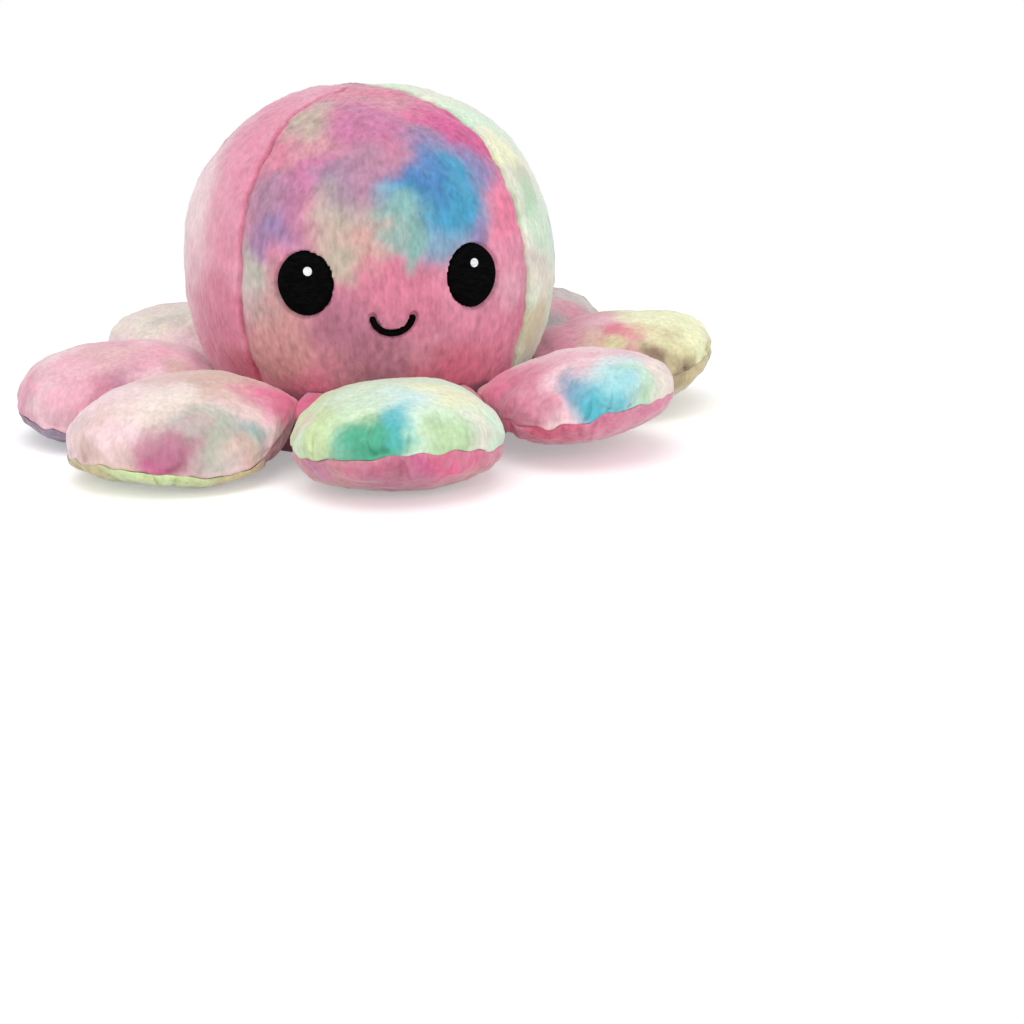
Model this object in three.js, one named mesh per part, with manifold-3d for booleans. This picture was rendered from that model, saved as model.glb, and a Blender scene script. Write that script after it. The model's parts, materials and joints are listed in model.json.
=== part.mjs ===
// Reversible plush octopus, in millimetres. Z is up, the smiling face looks along -Y, and
// the origin is on the floor under the middle of the head. A domed head of four sewn gores
// stands on a skirt and a hem, over a lined pocket that the head is pushed through to turn
// the toy inside out. Eight stuffed tentacles hinge at the skirt. Left and right are as seen
// by someone who looks at the face.
import * as THREE from "three";
import { mergeVertices } from "three/addons/utils/BufferGeometryUtils.js";
import Module from "manifold-3d";

const wasm = await Module();
wasm.setup();

// The whole toy, pile tip to pile tip
const headRadius = 54;
const headTop = 99;
const beltHeight = 45; // where the head is widest
const headDrop = 54; // reach of the lower half's curve below the belt
const crownPower = 2.3; // 2 is a round crown, more is squarer
const tipRadius = 103; // from the middle of the toy to a tentacle's tip
const tentacleCount = 8;
const strayAngles = [0, 0, -1, -2, -3, -4, -1.5, 0]; // degrees that each lies off its even place

// Cloth and clearances
const cloth = 3; // plush with its pile
const clearance = 0.3; // between pieces that are sewn or seated together
const fillingEase = 0.7; // between the head's filling and the lining
const soleLift = 0.2; // of the tentacles above the floor that the hem stands on

// Head gores and their seams
const faceHalfAngle = THREE.MathUtils.degToRad(48);
const seamDepth = 1.4; // how far the cloth dips into a seam
const seamReach = 6; // how far from a seam the dip starts
const crownTip = 1.2; // radius of the opening where the gores' tips are drawn together

// Pocket under the head
const pocketTop = 63;
const pocketBelt = 28; // level where the pocket is widest
const pocketBulge = 3.1; // how much wider it is there than at its mouth
const pocketPower = 2.1;
const footFilling = 2.2; // thickness of the head's filling where it stands on the hem

// Hem around the pocket's mouth, and the skirt that stands on it
const hemHeight = 8.7;
const hemRound = 3.5;
const hemInset = 2.5; // of the hem's edge under the skirt's flats
const skirtWall = 2.2; // between the head and the flat that a tentacle's neck is sewn to
const webLength = 8.5; // of the web of cloth between two tentacles
const webTipWidth = 1.6;

// Tentacles
const neckHeight = 16.5; // of the hinge line
const neckFilling = 0.9; // half the thickness of the stuffing in the neck
const neckSeat = 1.2; // how deep the neck sits in the skirt's flat
const sideGap = 4.3; // from a tentacle's side to the middle of the gap to its neighbour
const padRise = 15.1; // of the upper half above the side seam
const seamSag = 4; // how far the side seam dips below the neck, mid-way along the pad
const fullestShare = 0.47; // of the length from the hinge line to the tip
const swellPower = 0.7; // below 1 thickens the pad close to the neck

// Smiling face
const eyeWidth = 15.2;
const eyeHeight = 17.2;
const eyeTurnShare = 0.535; // of the turn from the middle of the face to its seam
const eyeAboveBelt = 5.3;
const glintSize = 2.4;
const glintAside = 0.6; // from the middle of the eye, to the right
const glintAbove = 3.5;
const smileBelowBelt = 4.8; // of the mouth's corners
const smileHalfWidth = 5;
const smileDepth = 4.1;
const smileStroke = 1.75;

// Grumpy face on the lining
const frownEyeWidth = 13.2;
const frownEyeHeight = 17.3; // of the oval that the lid cuts
const frownEyeTurnShare = 0.42;
const frownEyeAboveBelt = 11;
const outerLidAngle = THREE.MathUtils.degToRad(40); // up the oval, away from the nose
const innerLidAngle = THREE.MathUtils.degToRad(10);
const frownGlintAside = 2.2;
const frownGlintAbove = 0.4;
const frownBelowBelt = 6.5; // of the mouth's corners
const frownHalfWidth = 4.6;
const frownDepth = 5.2;
const frownStroke = 1.6;

// Embroidery, measured down from the pile's tips
const stitchTop = 0.8;
const stitchBacking = 0.8; // of cloth behind the stitches
const glintThickness = 0.6;

// Facets
const goreShares = [0, 0.035, 0.1, 0.22, 0.36, 0.5, 0.64, 0.78, 0.9, 0.965, 1];
const liningShares = [0, 0.17, 0.33, 0.5, 0.67, 0.83, 1];
const headRows = 10;
const liningRows = 8;
const neckRows = 2;
const swellRows = 4;
const tipRows = 5;
const padColumns = 6;
const hemSegments = 32;
const roundSegments = 3;
const grooveSegments = 24;
const ovalSegments = 20;
const glintSegments = 10;
const strokeSegments = 8;
const capSegments = 4;
const overrun = 5; // how far a cutter runs past what it cuts
const footOverrun = 2.5; // how far the head's cloth is drawn below the deck that trims it

const quarterTurn = Math.PI / 2;
const halfTurn = Math.PI;
const fullTurn = 2 * Math.PI;

// The head and the pocket are domes. The pocket's mouth leaves the head's cloth and filling
// their room on the hem.
const deckLevel = hemHeight + clearance; // the skirt and the head's cloth stand here
const dome = {
  side: 1, radius: headRadius, belt: beltHeight, drop: headDrop, rise: headTop - beltHeight,
  power: crownPower, seamDepth, shares: goreShares, rows: headRows,
};
const mouthRadius = radiusAt(dome, deckLevel, cloth + clearance) - footFilling - fillingEase - cloth;
const pocketRadius = mouthRadius + pocketBulge;
const pocketDrop = (pocketBelt - deckLevel) / Math.sqrt(1 - (mouthRadius / pocketRadius) ** 2);
const pocket = {
  side: -1, radius: pocketRadius, belt: pocketBelt, drop: pocketDrop,
  rise: pocketTop - pocketBelt, power: pocketPower, seamDepth: 0, shares: liningShares,
  rows: liningRows,
};

// Sizes of the skirt and the tentacles that follow from the head's
const sector = fullTurn / tentacleCount;
const halfSector = sector / 2;
const neckTurns = Array.from({ length: tentacleCount }, (_, index) => (
  index * sector + THREE.MathUtils.degToRad(strayAngles[index % strayAngles.length])
));
const skirtFlatRadius = radiusAt(dome, neckHeight, -clearance) + skirtWall;
const hemOuterRadius = skirtFlatRadius - hemInset;
const webReach = skirtFlatRadius + webLength;
const neckRoll = cloth + clearance + neckFilling; // half the thickness of the neck
const neckRadius = skirtFlatRadius + neckRoll - neckSeat; // from the axis to a hinge line
const neckHalfWidth = neckRadius * Math.tan(halfSector) - sideGap;
const padLength = tipRadius - neckRadius;
const fullestRadius = neckRadius + fullestShare * padLength;
const padHalfWidth = fullestRadius * Math.tan(halfSector) - sideGap;
const padBelly = neckHeight - seamSag - soleLift; // of the lower half below the side seam

// Places of the embroidery
const stitchFoot = cloth - stitchBacking;
const glintFoot = stitchTop + glintThickness;
const eyeTurn = faceHalfAngle * eyeTurnShare;
const frownEyeTurn = faceHalfAngle * frownEyeTurnShare;
const eyeLevel = beltHeight + eyeAboveBelt;
const smileLevel = beltHeight - smileBelowBelt;
const frownEyeLevel = pocketBelt + frownEyeAboveBelt;
const frownLevel = pocketBelt - frownBelowBelt;
const gores = {
  face: { from: -faceHalfAngle, to: faceHalfAngle },
  right: { from: faceHalfAngle, to: halfTurn - faceHalfAngle },
  back: { from: halfTurn - faceHalfAngle, to: halfTurn + faceHalfAngle },
  left: { from: halfTurn + faceHalfAngle, to: fullTurn - faceHalfAngle },
};
const seamTurns = Object.values(gores).map((gore) => gore.from);
const roundTurns = [gores.face.from, ...Object.values(gores).flatMap((gore) => (
  goreShares.slice(1).map((share) => THREE.MathUtils.lerp(gore.from, gore.to, share))
))];

// Even steps from 0 to 1
function evenShares(count) {
  return Array.from({ length: count + 1 }, (_, step) => step / count);
}

// A closed geometry as a solid that can be cut
function solidFrom(geometry) {
  const bare = geometry.clone();
  bare.deleteAttribute("normal");
  bare.deleteAttribute("uv");
  const merged = mergeVertices(bare);
  const corners = Array.from(merged.index.array);
  const triangles = [];
  for (let first = 0; first < corners.length; first += 3) {
    const [a, b, c] = corners.slice(first, first + 3);
    if (a !== b && b !== c && c !== a) triangles.push(a, b, c);
  }
  return new wasm.Manifold(new wasm.Mesh({
    numProp: 3,
    vertProperties: Float32Array.from(merged.attributes.position.array),
    triVerts: Uint32Array.from(triangles),
  }));
}

// A cut solid as a geometry again
function geometryFrom(solid) {
  const mesh = solid.getMesh();
  const geometry = new THREE.BufferGeometry();
  geometry.setAttribute("position", new THREE.BufferAttribute(mesh.vertProperties, 3));
  geometry.setIndex(new THREE.BufferAttribute(mesh.triVerts, 1));
  geometry.computeVertexNormals();
  return geometry;
}

// Points and faces that grow into one closed geometry
function newSkin() {
  return { points: [], faces: [] };
}

function addQuad(skin, a, b, c, d) {
  skin.faces.push(a, b, c, a, c, d);
}

// One surface over a grid. It returns the number of the point at a row and a column.
function addSurface(skin, surface, rows, columns, facesIn) {
  const first = skin.points.length / 3;
  const at = (row, column) => first + row * columns.length + column;
  for (const row of rows) {
    for (const column of columns) skin.points.push(...surface(row, column));
  }
  for (let row = 1; row < rows.length; row += 1) {
    for (let column = 1; column < columns.length; column += 1) {
      const [near, far] = [at(row - 1, column - 1), at(row, column)];
      const [beside, above] = [at(row - 1, column), at(row, column - 1)];
      addQuad(skin, near, facesIn ? above : beside, far, facesIn ? beside : above);
    }
  }
  return at;
}

function closedSolid(skin) {
  const geometry = new THREE.BufferGeometry();
  geometry.setAttribute("position", new THREE.Float32BufferAttribute(skin.points, 3));
  geometry.setIndex(skin.faces);
  return solidFrom(geometry);
}

// The solid between an outer and an inner surface. Its sides are closed unless it goes round.
function wallSolid(outside, inside, rows, columns, goesRound = false) {
  const skin = newSkin();
  const outer = addSurface(skin, outside, rows, columns, false);
  const inner = addSurface(skin, inside, rows, columns, true);
  const top = rows.length - 1;
  const end = columns.length - 1;
  for (let column = 1; column <= end; column += 1) {
    const before = column - 1;
    addQuad(skin, outer(0, column), outer(0, before), inner(0, before), inner(0, column));
    addQuad(skin, outer(top, before), outer(top, column), inner(top, column), inner(top, before));
  }
  if (goesRound) return closedSolid(skin);
  for (let row = 1; row <= top; row += 1) {
    const below = row - 1;
    addQuad(skin, outer(below, 0), outer(row, 0), inner(row, 0), inner(below, 0));
    addQuad(skin, outer(row, end), outer(below, end), inner(below, end), inner(row, end));
  }
  return closedSolid(skin);
}

// Half of a dome's section, as a radius and a height: round below the belt, squarer above it,
// at a depth under the tips of the pile
function domeSection(form, angle, depth) {
  const power = angle < 0 ? 2 : form.power;
  const reach = angle < 0 ? form.drop : form.rise;
  const across = Math.cos(angle) ** (2 / power);
  const along = Math.abs(Math.sin(angle)) ** (2 / power);
  const normal = new THREE.Vector2(
    across ** (power - 1) / form.radius,
    (Math.sign(angle) * along ** (power - 1)) / reach,
  ).normalize();
  const place = new THREE.Vector2(form.radius * across, form.belt + Math.sign(angle) * reach * along);
  return place.addScaledVector(normal, -depth);
}

// A dome's radius at a level below its belt, with the depth taken square to the cloth
function radiusAt(form, level, depth) {
  const angle = Math.asin((level - form.belt) / form.drop);
  const normal = new THREE.Vector2(Math.cos(angle) / form.radius, Math.sin(angle) / form.drop);
  return form.radius * Math.cos(angle) - depth * (normal.length() / normal.x);
}

// How far the cloth dips at a turn about the axis, from the arc to the nearest seam
function seamDip(form, turn, angle) {
  const radius = domeSection(form, angle, 0).x;
  const turns = seamTurns.map((seam) => (
    Math.abs(Math.atan2(Math.sin(turn - seam), Math.cos(turn - seam)))
  ));
  const nearness = 1 - Math.min(1, (Math.min(...turns) * radius) / seamReach);
  return form.seamDepth * nearness ** 2;
}

function domePoint(form, turn, angle, depth) {
  const { x: radius, y: height } = domeSection(form, angle, depth + seamDip(form, turn, angle));
  return [radius * Math.sin(turn), -radius * Math.cos(turn), height];
}

function footAngle(form) {
  return Math.asin((deckLevel - footOverrun - form.belt) / form.drop);
}

// What lies under the head's cloth and over the hem
const deckCutter = solidFrom(
  new THREE.BoxGeometry(2 * tipRadius, 2 * tipRadius, deckLevel + overrun)
    .translate(0, 0, (deckLevel - overrun) / 2),
);

// The cloth of one gore between two depths below the tips of its pile
function goreSolid(form, gore, top, foot) {
  const start = footAngle(form);
  const end = Math.acos((crownTip / form.radius) ** (form.power / 2));
  const surface = (depth) => (row, column) => {
    const angle = THREE.MathUtils.lerp(start, end, row);
    const margin = clearance / 2 / domeSection(form, angle, depth).x;
    const turn = THREE.MathUtils.lerp(gore.from + margin, gore.to - margin, column);
    return domePoint(form, turn, angle, depth);
  };
  const depths = form.side > 0 ? [top, foot] : [-foot, -top];
  const solid = wallSolid(surface(depths[0]), surface(depths[1]), evenShares(form.rows), form.shares);
  return solid.subtract(deckCutter);
}

// The head's filling, from the back of its cloth to the back of the pocket's lining
function headFilling() {
  const surface = (form, depth) => (row, turn) => (
    domePoint(form, turn, THREE.MathUtils.lerp(footAngle(form), quarterTurn, row), depth)
  );
  const outside = surface(dome, cloth + clearance);
  const inside = surface(pocket, -cloth - fillingEase);
  return wallSolid(outside, inside, evenShares(headRows), roundTurns, true).subtract(deckCutter);
}

// An oval, grown by a margin
function ovalShape(width, height, margin, segments) {
  const oval = new THREE.EllipseCurve(0, 0, width / 2 + margin, height / 2 + margin);
  return new THREE.Shape(oval.getPoints(segments).slice(1));
}

// An oval cut by a sloping lid, lower on its right, or on its left when mirrored
function liddedShape(mirrored, margin) {
  const arc = new THREE.EllipseCurve(
    0, 0, frownEyeWidth / 2 + margin, frownEyeHeight / 2 + margin,
    halfTurn - outerLidAngle, fullTurn + innerLidAngle,
  ).getPoints(ovalSegments);
  const lid = [arc.at(-1), arc.at(0)].map((point) => new THREE.Vector2(point.x, point.y + margin));
  const points = margin > 0 ? [...arc, ...lid] : arc;
  return new THREE.Shape(points.map((point) => new THREE.Vector2(mirrored ? -point.x : point.x, point.y)));
}

// A line of stitches with round ends along a curve
function strokeShape(curve, halfWidth) {
  const shares = evenShares(strokeSegments);
  const offset = (share, sideways, onwards) => {
    const tangent = curve.getTangent(share);
    return curve.getPoint(share).addScaledVector(tangent, onwards)
      .add(new THREE.Vector2(-tangent.y, tangent.x).multiplyScalar(sideways));
  };
  const cap = (share, sign) => evenShares(capSegments).slice(1, -1).map((step) => {
    const angle = step * halfTurn;
    return offset(share, sign * halfWidth * Math.cos(angle), sign * halfWidth * Math.sin(angle));
  });
  return new THREE.Shape([
    ...shares.map((share) => offset(share, halfWidth, 0)), ...cap(1, 1),
    ...shares.map((share) => offset(1 - share, -halfWidth, 0)), ...cap(0, -1),
  ]);
}

// A prism from the axis through a dome's cloth, upright, and facing the side that shows
function stitchCutter(form, shape, turn, level) {
  const reach = form.radius + cloth + overrun;
  const out = new THREE.Vector3(Math.sin(turn), -Math.cos(turn), 0);
  const facing = out.clone().multiplyScalar(form.side);
  const up = new THREE.Vector3(0, 0, 1);
  const place = new THREE.Matrix4().makeBasis(up.clone().cross(facing), up, facing);
  place.setPosition(form.side > 0 ? 0 : out.x * reach, form.side > 0 ? 0 : out.y * reach, level);
  const prism = new THREE.ExtrudeGeometry(shape, { depth: reach, bevelEnabled: false });
  return solidFrom(prism.applyMatrix4(place));
}

// One embroidered patch, and the room that the cloth around it leaves
function stitched(form, makeShape, turn, level, foot) {
  const cut = (margin, top, bottom) => (
    goreSolid(form, gores.face, top, bottom).intersect(stitchCutter(form, makeShape(margin), turn, level))
  );
  return { patch: cut(0, stitchTop, foot), room: cut(clearance, -overrun, foot + clearance) };
}

// The tentacle's half-width and half-thickness along its length. "depth" is how far under
// the pile's tips it is measured.
function padStation(row, depth, swell) {
  const length = padLength - depth;
  const fullest = fullestShare * length;
  const neck = { width: neckHalfWidth - depth, thickness: neckRoll - depth };
  const full = { width: padHalfWidth - depth, thickness: swell - depth };
  if (row <= neckRows) {
    const angle = (row / neckRows - 1) * quarterTurn;
    const [along, thickness] = [Math.sin(angle), Math.cos(angle)].map((share) => neck.thickness * share);
    return { along, width: neck.width, thickness };
  }
  if (row <= neckRows + swellRows) {
    const share = (row - neckRows) / swellRows;
    const rise = Math.sin(share * quarterTurn);
    return {
      along: fullest * share,
      width: THREE.MathUtils.lerp(neck.width, full.width, rise),
      thickness: THREE.MathUtils.lerp(neck.thickness, full.thickness, rise ** swellPower),
    };
  }
  const angle = ((row - neckRows - swellRows) / tipRows) * quarterTurn;
  return {
    along: THREE.MathUtils.lerp(fullest, length, Math.sin(angle)),
    width: full.width * Math.cos(angle),
    thickness: full.thickness * Math.cos(angle),
  };
}

// A point of a tentacle's cloth in its own frame: X runs outwards from the hinge line. The
// halves part at the side seam, each by half the clearance.
function padPoint(row, around, depth, swell, parting) {
  const station = padStation(row, depth, swell);
  const seam = -seamSag * Math.sin(THREE.MathUtils.clamp(station.along / padLength, 0, 1) * halfTurn);
  const height = Math.max(0, station.thickness - Math.abs(parting)) * Math.sin(around);
  return [station.along, station.width * Math.cos(around), seam + parting + height];
}

const padRowSteps = Array.from({ length: neckRows + swellRows + tipRows + 1 }, (_, row) => row);

// Half of a tentacle's cloth, above or below its side seam
function padHalf(above) {
  const swell = above ? padRise : padBelly;
  const parting = ((above ? 1 : -1) * clearance) / 2;
  const start = above ? 0 : halfTurn;
  const columns = evenShares(padColumns).map((share) => start + share * halfTurn);
  const surface = (depth) => (row, around) => padPoint(row, around, depth, swell, parting);
  return wallSolid(surface(0), surface(cloth), padRowSteps, columns);
}

function padFilling() {
  const skin = newSkin();
  const columns = evenShares(2 * padColumns).map((share) => share * fullTurn);
  const surface = (row, around) => (
    padPoint(row, around, cloth + clearance, around < halfTurn ? padRise : padBelly, 0)
  );
  addSurface(skin, surface, padRowSteps, columns, false);
  return closedSolid(skin);
}

// The hem: a flat-bottomed ring with rounded edges
function hemSolid() {
  const round = (x, y, from) => evenShares(roundSegments).map((share) => {
    const angle = from + share * quarterTurn;
    return new THREE.Vector2(x + hemRound * Math.cos(angle), y + hemRound * Math.sin(angle));
  });
  const profile = [
    ...round(hemOuterRadius - hemRound, hemRound, -quarterTurn),
    new THREE.Vector2(hemOuterRadius, hemHeight),
    new THREE.Vector2(mouthRadius, hemHeight),
    ...round(mouthRadius + hemRound, hemRound, halfTurn),
  ];
  const ring = new THREE.LatheGeometry([...profile, profile[0]], hemSegments);
  return solidFrom(ring.rotateX(quarterTurn));
}

// The skirt: a flat for each neck and a web between each two, with room for the head that
// stands in it and for the necks that turn against it
function skirtSolid() {
  const flatHalfWidth = neckHalfWidth + 2 * clearance;
  const axis = new THREE.Vector2();
  const place = (turn, along, aside) => new THREE.Vector2(along, aside).rotateAround(axis, turn);
  const points = [];
  neckTurns.forEach((neck, index) => {
    const next = neckTurns[index + 1] ?? neckTurns[0] + fullTurn;
    const web = (neck + next) / 2;
    points.push(place(neck, skirtFlatRadius, -flatHalfWidth), place(neck, skirtFlatRadius, flatHalfWidth));
    points.push(place(web, webReach, -webTipWidth / 2), place(web, webReach, webTipWidth / 2));
  });
  const height = neckHeight - deckLevel;
  const plate = new THREE.ExtrudeGeometry(new THREE.Shape(points), { depth: height, bevelEnabled: false });
  let skirt = solidFrom(plate.translate(0, 0, deckLevel)).subtract(headRoom());
  for (const turn of neckTurns) {
    const radius = neckRoll + clearance;
    const width = 2 * (neckHalfWidth + clearance);
    const room = new THREE.CylinderGeometry(radius, radius, width, grooveSegments);
    skirt = skirt.subtract(solidFrom(room.translate(neckRadius, 0, neckHeight).rotateZ(turn)));
  }
  return skirt;
}

// The head's whole outer form, grown by the clearance
function headRoom() {
  const skin = newSkin();
  const foot = footAngle(dome);
  const angles = evenShares(headRows).map((share) => THREE.MathUtils.lerp(foot, quarterTurn, share));
  const surface = (angle, turn) => domePoint(dome, turn, angle, -clearance);
  addSurface(skin, surface, [-quarterTurn, ...angles], roundTurns, false);
  return closedSolid(skin);
}

// Colours of the dyed cloth and of the thread
const clothRoughness = 0.95;
const threadRoughness = 0.6;
const threadColors = { dark: "#17161a", glint: "#e8e6ea" };
const goreColors = { face: "#c65f9b", right: "#cfcfa8", back: "#a88fb8", left: "#dc7fa6" };
const liningColors = { face: "#b0508f", right: "#c9b48f", back: "#8d7fae", left: "#a8bf5d" };
const padColors = [
  { upper: "#e0736a", lower: "#e3b05f" }, { upper: "#b79bb5", lower: "#c98fa8" },
  { upper: "#c5a3b8", lower: "#a9b784" }, { upper: "#d9cfc0", lower: "#b3a8b0" },
  { upper: "#d98aa9", lower: "#8d7f9c" }, { upper: "#d9bfbf", lower: "#b9c05c" },
  { upper: "#8fc9a4", lower: "#d9639a" }, { upper: "#c98fc0", lower: "#d97fa0" },
];

// One sub-part, in its own colour
function piece(name, solid, color, roughness = clothRoughness) {
  const material = new THREE.MeshStandardMaterial({ color, roughness, metalness: 0 });
  const mesh = new THREE.Mesh(geometryFrom(solid), material);
  mesh.name = name;
  return mesh;
}

// The face gore with its embroidery let into it: each patch leaves room in the cloth, and
// each glint leaves room in its eye
function embroider(form, stitches) {
  let panel = goreSolid(form, gores.face, 0, cloth);
  const patches = new Map();
  for (const { name, makeShape, turn, level, glint } of stitches) {
    const outer = stitched(form, makeShape, turn, level, stitchFoot);
    panel = panel.subtract(outer.room);
    patches.set(name, outer.patch);
    if (glint) {
      const aside = (form.side * glint.aside) / form.radius;
      const inner = stitched(form, glintShape, turn + aside, level + glint.above, glintFoot);
      patches.set(name, outer.patch.subtract(inner.room));
      patches.set(glint.name, inner.patch);
    }
  }
  return { panel, patches };
}

const eyeShape = (margin) => ovalShape(eyeWidth, eyeHeight, margin, ovalSegments);
const glintShape = (margin) => ovalShape(glintSize, glintSize, margin, glintSegments);
const smileCurve = new THREE.EllipseCurve(0, 0, smileHalfWidth, smileDepth, halfTurn, fullTurn);
const smileShape = (margin) => strokeShape(smileCurve, smileStroke / 2 + margin);
const frownCurve = new THREE.EllipseCurve(0, 0, frownHalfWidth, frownDepth, halfTurn, 0, true);
const frownShape = (margin) => strokeShape(frownCurve, frownStroke / 2 + margin);
const eyeGlint = { aside: glintAside, above: glintAbove };
const frownGlint = { aside: frownGlintAside, above: frownGlintAbove };

const happyStitches = [
  {
    name: "eye_left", makeShape: eyeShape, turn: -eyeTurn, level: eyeLevel,
    glint: { name: "eye_glint_left", ...eyeGlint },
  },
  {
    name: "eye_right", makeShape: eyeShape, turn: eyeTurn, level: eyeLevel,
    glint: { name: "eye_glint_right", ...eyeGlint },
  },
  { name: "smile", makeShape: smileShape, turn: 0, level: smileLevel },
];
const grumpyStitches = [
  {
    name: "grumpy_eye_left", makeShape: (margin) => liddedShape(false, margin), turn: frownEyeTurn,
    level: frownEyeLevel, glint: { name: "grumpy_glint_left", ...frownGlint },
  },
  {
    name: "grumpy_eye_right", makeShape: (margin) => liddedShape(true, margin), turn: -frownEyeTurn,
    level: frownEyeLevel, glint: { name: "grumpy_glint_right", ...frownGlint },
  },
  { name: "frown", makeShape: frownShape, turn: 0, level: frownLevel },
];

const octopus = new THREE.Group();

// Head and lining
for (const [form, prefix, stitches, colors] of [
  [dome, "head", happyStitches, goreColors], [pocket, "lining", grumpyStitches, liningColors],
]) {
  const { panel, patches } = embroider(form, stitches);
  octopus.add(piece(`${prefix}_face_panel`, panel, colors.face));
  for (const side of ["right", "back", "left"]) {
    octopus.add(piece(`${prefix}_${side}_panel`, goreSolid(form, gores[side], 0, cloth), colors[side]));
  }
  for (const [name, patch] of patches) {
    const color = name.includes("glint") ? threadColors.glint : threadColors.dark;
    octopus.add(piece(name, patch, color, threadRoughness));
  }
}
octopus.add(piece("head_filling", headFilling(), "#f4f2ee"));
octopus.add(piece("hem_ring", hemSolid(), "#c58fb0"));
octopus.add(piece("skirt_ring", skirtSolid(), "#d9609a"));

// Tentacles, counted from +X towards +Y, each in a group on its hinge line
neckTurns.forEach((turn, index) => {
  const colors = padColors[index % padColors.length];
  const tentacle = new THREE.Group();
  const name = `tentacle_${index + 1}`;
  tentacle.add(piece(`${name}_upper`, padHalf(true), colors.upper));
  tentacle.add(piece(`${name}_lower`, padHalf(false), colors.lower));
  tentacle.add(piece(`${name}_filling`, padFilling(), "#f4f2ee"));
  tentacle.position.set(neckRadius * Math.cos(turn), neckRadius * Math.sin(turn), neckHeight);
  tentacle.rotation.z = turn;
  octopus.add(tentacle);
});

export default octopus;
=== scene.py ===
import json
import math

import bmesh
import bpy
import numpy as np
from mathutils import Matrix, Vector


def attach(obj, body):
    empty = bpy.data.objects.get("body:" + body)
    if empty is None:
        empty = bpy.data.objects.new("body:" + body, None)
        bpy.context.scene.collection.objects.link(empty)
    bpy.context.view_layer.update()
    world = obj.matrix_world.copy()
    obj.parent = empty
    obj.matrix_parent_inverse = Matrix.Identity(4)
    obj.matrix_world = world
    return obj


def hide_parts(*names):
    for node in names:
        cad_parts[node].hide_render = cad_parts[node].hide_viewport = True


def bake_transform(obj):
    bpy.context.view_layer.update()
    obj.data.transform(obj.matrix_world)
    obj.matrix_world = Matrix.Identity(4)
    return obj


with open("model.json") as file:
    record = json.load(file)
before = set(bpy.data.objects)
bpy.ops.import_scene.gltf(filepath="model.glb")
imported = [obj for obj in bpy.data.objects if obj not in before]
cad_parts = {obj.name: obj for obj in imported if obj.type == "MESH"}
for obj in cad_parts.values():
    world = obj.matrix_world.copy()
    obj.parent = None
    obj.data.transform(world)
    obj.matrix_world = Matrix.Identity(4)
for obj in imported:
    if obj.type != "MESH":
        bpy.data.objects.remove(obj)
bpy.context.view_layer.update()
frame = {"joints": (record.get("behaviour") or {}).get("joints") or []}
mm = 0.001
bakeMap = "OFBake"
scene = bpy.context.scene


# Colours

def linear(color):
    # A hex colour as the linear numbers that a socket takes
    parts = [int(color[at:at + 2], 16) / 255 for at in (1, 3, 5)]
    return [((c + 0.055) / 1.055) ** 2.4 if c > 0.04045 else c / 12.92 for c in parts] + [1]


class Wire:
    # A node's output that can be written into sums
    def __init__(self, finish, socket):
        self.finish, self.socket = finish, socket

    def maths(self, operation, first, second):
        return self.finish.add("Math", {"operation": operation}, {0: first, 1: second})

    def __add__(self, other):
        return self.maths("ADD", self, other)

    def __sub__(self, other):
        return self.maths("SUBTRACT", self, other)

    def __mul__(self, other):
        return self.maths("MULTIPLY", self, other)

    def __rsub__(self, other):
        return self.maths("SUBTRACT", other, self)

    __radd__, __rmul__ = __add__, __mul__


class Finish:
    # A material or world and the nodes that make it
    def __init__(self, owner):
        owner.use_nodes = True
        self.owner, self.nodes, self.links = owner, owner.node_tree.nodes, owner.node_tree.links
        self.nodes.clear()

    def add(self, kind, settings=None, values=None, output=0):
        # One node, named without its "ShaderNode": its settings first, then what its sockets
        # take. It returns one output.
        node = self.nodes.new("ShaderNode" + kind)
        for name, value in (settings or {}).items():
            setattr(node, name, value)
        for name, value in (values or {}).items():
            if isinstance(value, Wire):
                self.links.new(value.socket, node.inputs[name])
            else:
                node.inputs[name].default_value = value
        return Wire(self, node.outputs[output]) if node.outputs else node

    def vector(self, operation, first, second, output=0):
        settings, values = {"operation": operation}, {0: first, 1: second}
        return self.add("VectorMath", settings, values, output)

    def mix(self, first, second, share, blend="MIX"):
        # Sockets 6 and 7 take the two colours
        values = {"Factor": share, 6: first, 7: second}
        return self.add("Mix", {"data_type": "RGBA", "blend_type": blend}, values, 2)

    def ramp(self, wire, low, high):
        # 0 at low to 1 at high, eased at both ends
        values = {"Value": wire, "From Min": low, "From Max": high}
        return self.add("MapRange", {"interpolation_type": "SMOOTHSTEP"}, values)

    def noise(self, place, size, detail=2, output=0):
        values = {"Vector": place, "Scale": 1 / size, "Detail": detail}
        return self.add("TexNoise", None, values, output)

    def surface(self, values):
        shader = self.add("BsdfPrincipled", None, values)
        self.add("OutputMaterial", None, {"Surface": shader})
        return self.owner


dyes = dict(
    pink="#e08fa9", petal="#eab0c1", dusk="#cd8c9f", blush="#f4d6da", hotPink="#e3668f",
    magenta="#cf5f93", orchid="#c4789f", rose="#d67f98", crimson="#c95c74", plum="#b4728a",
    mauve="#a9829c", violet="#8d7fae", blue="#4c82b8", sky="#489bc0", steel="#86a1ba",
    ice="#cfeeec", seafoam="#85b1ac", cyan="#5dbccb", teal="#54ac8c", jade="#66b9a4",
    mint="#d3ebd2", green="#b3d9b6", lime="#cfe3a9", moss="#b4cf9d", yellow="#f2f4c8",
    cream="#ece4d5", straw="#cdbf95", sand="#bcaf9e", shell="#d9b8ac", salmon="#d7a6a0",
    taupe="#cb9594", grey="#cbc2bd", sage="#b9bbac", slate="#8d92a6", umber="#8b7361",
)

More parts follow.
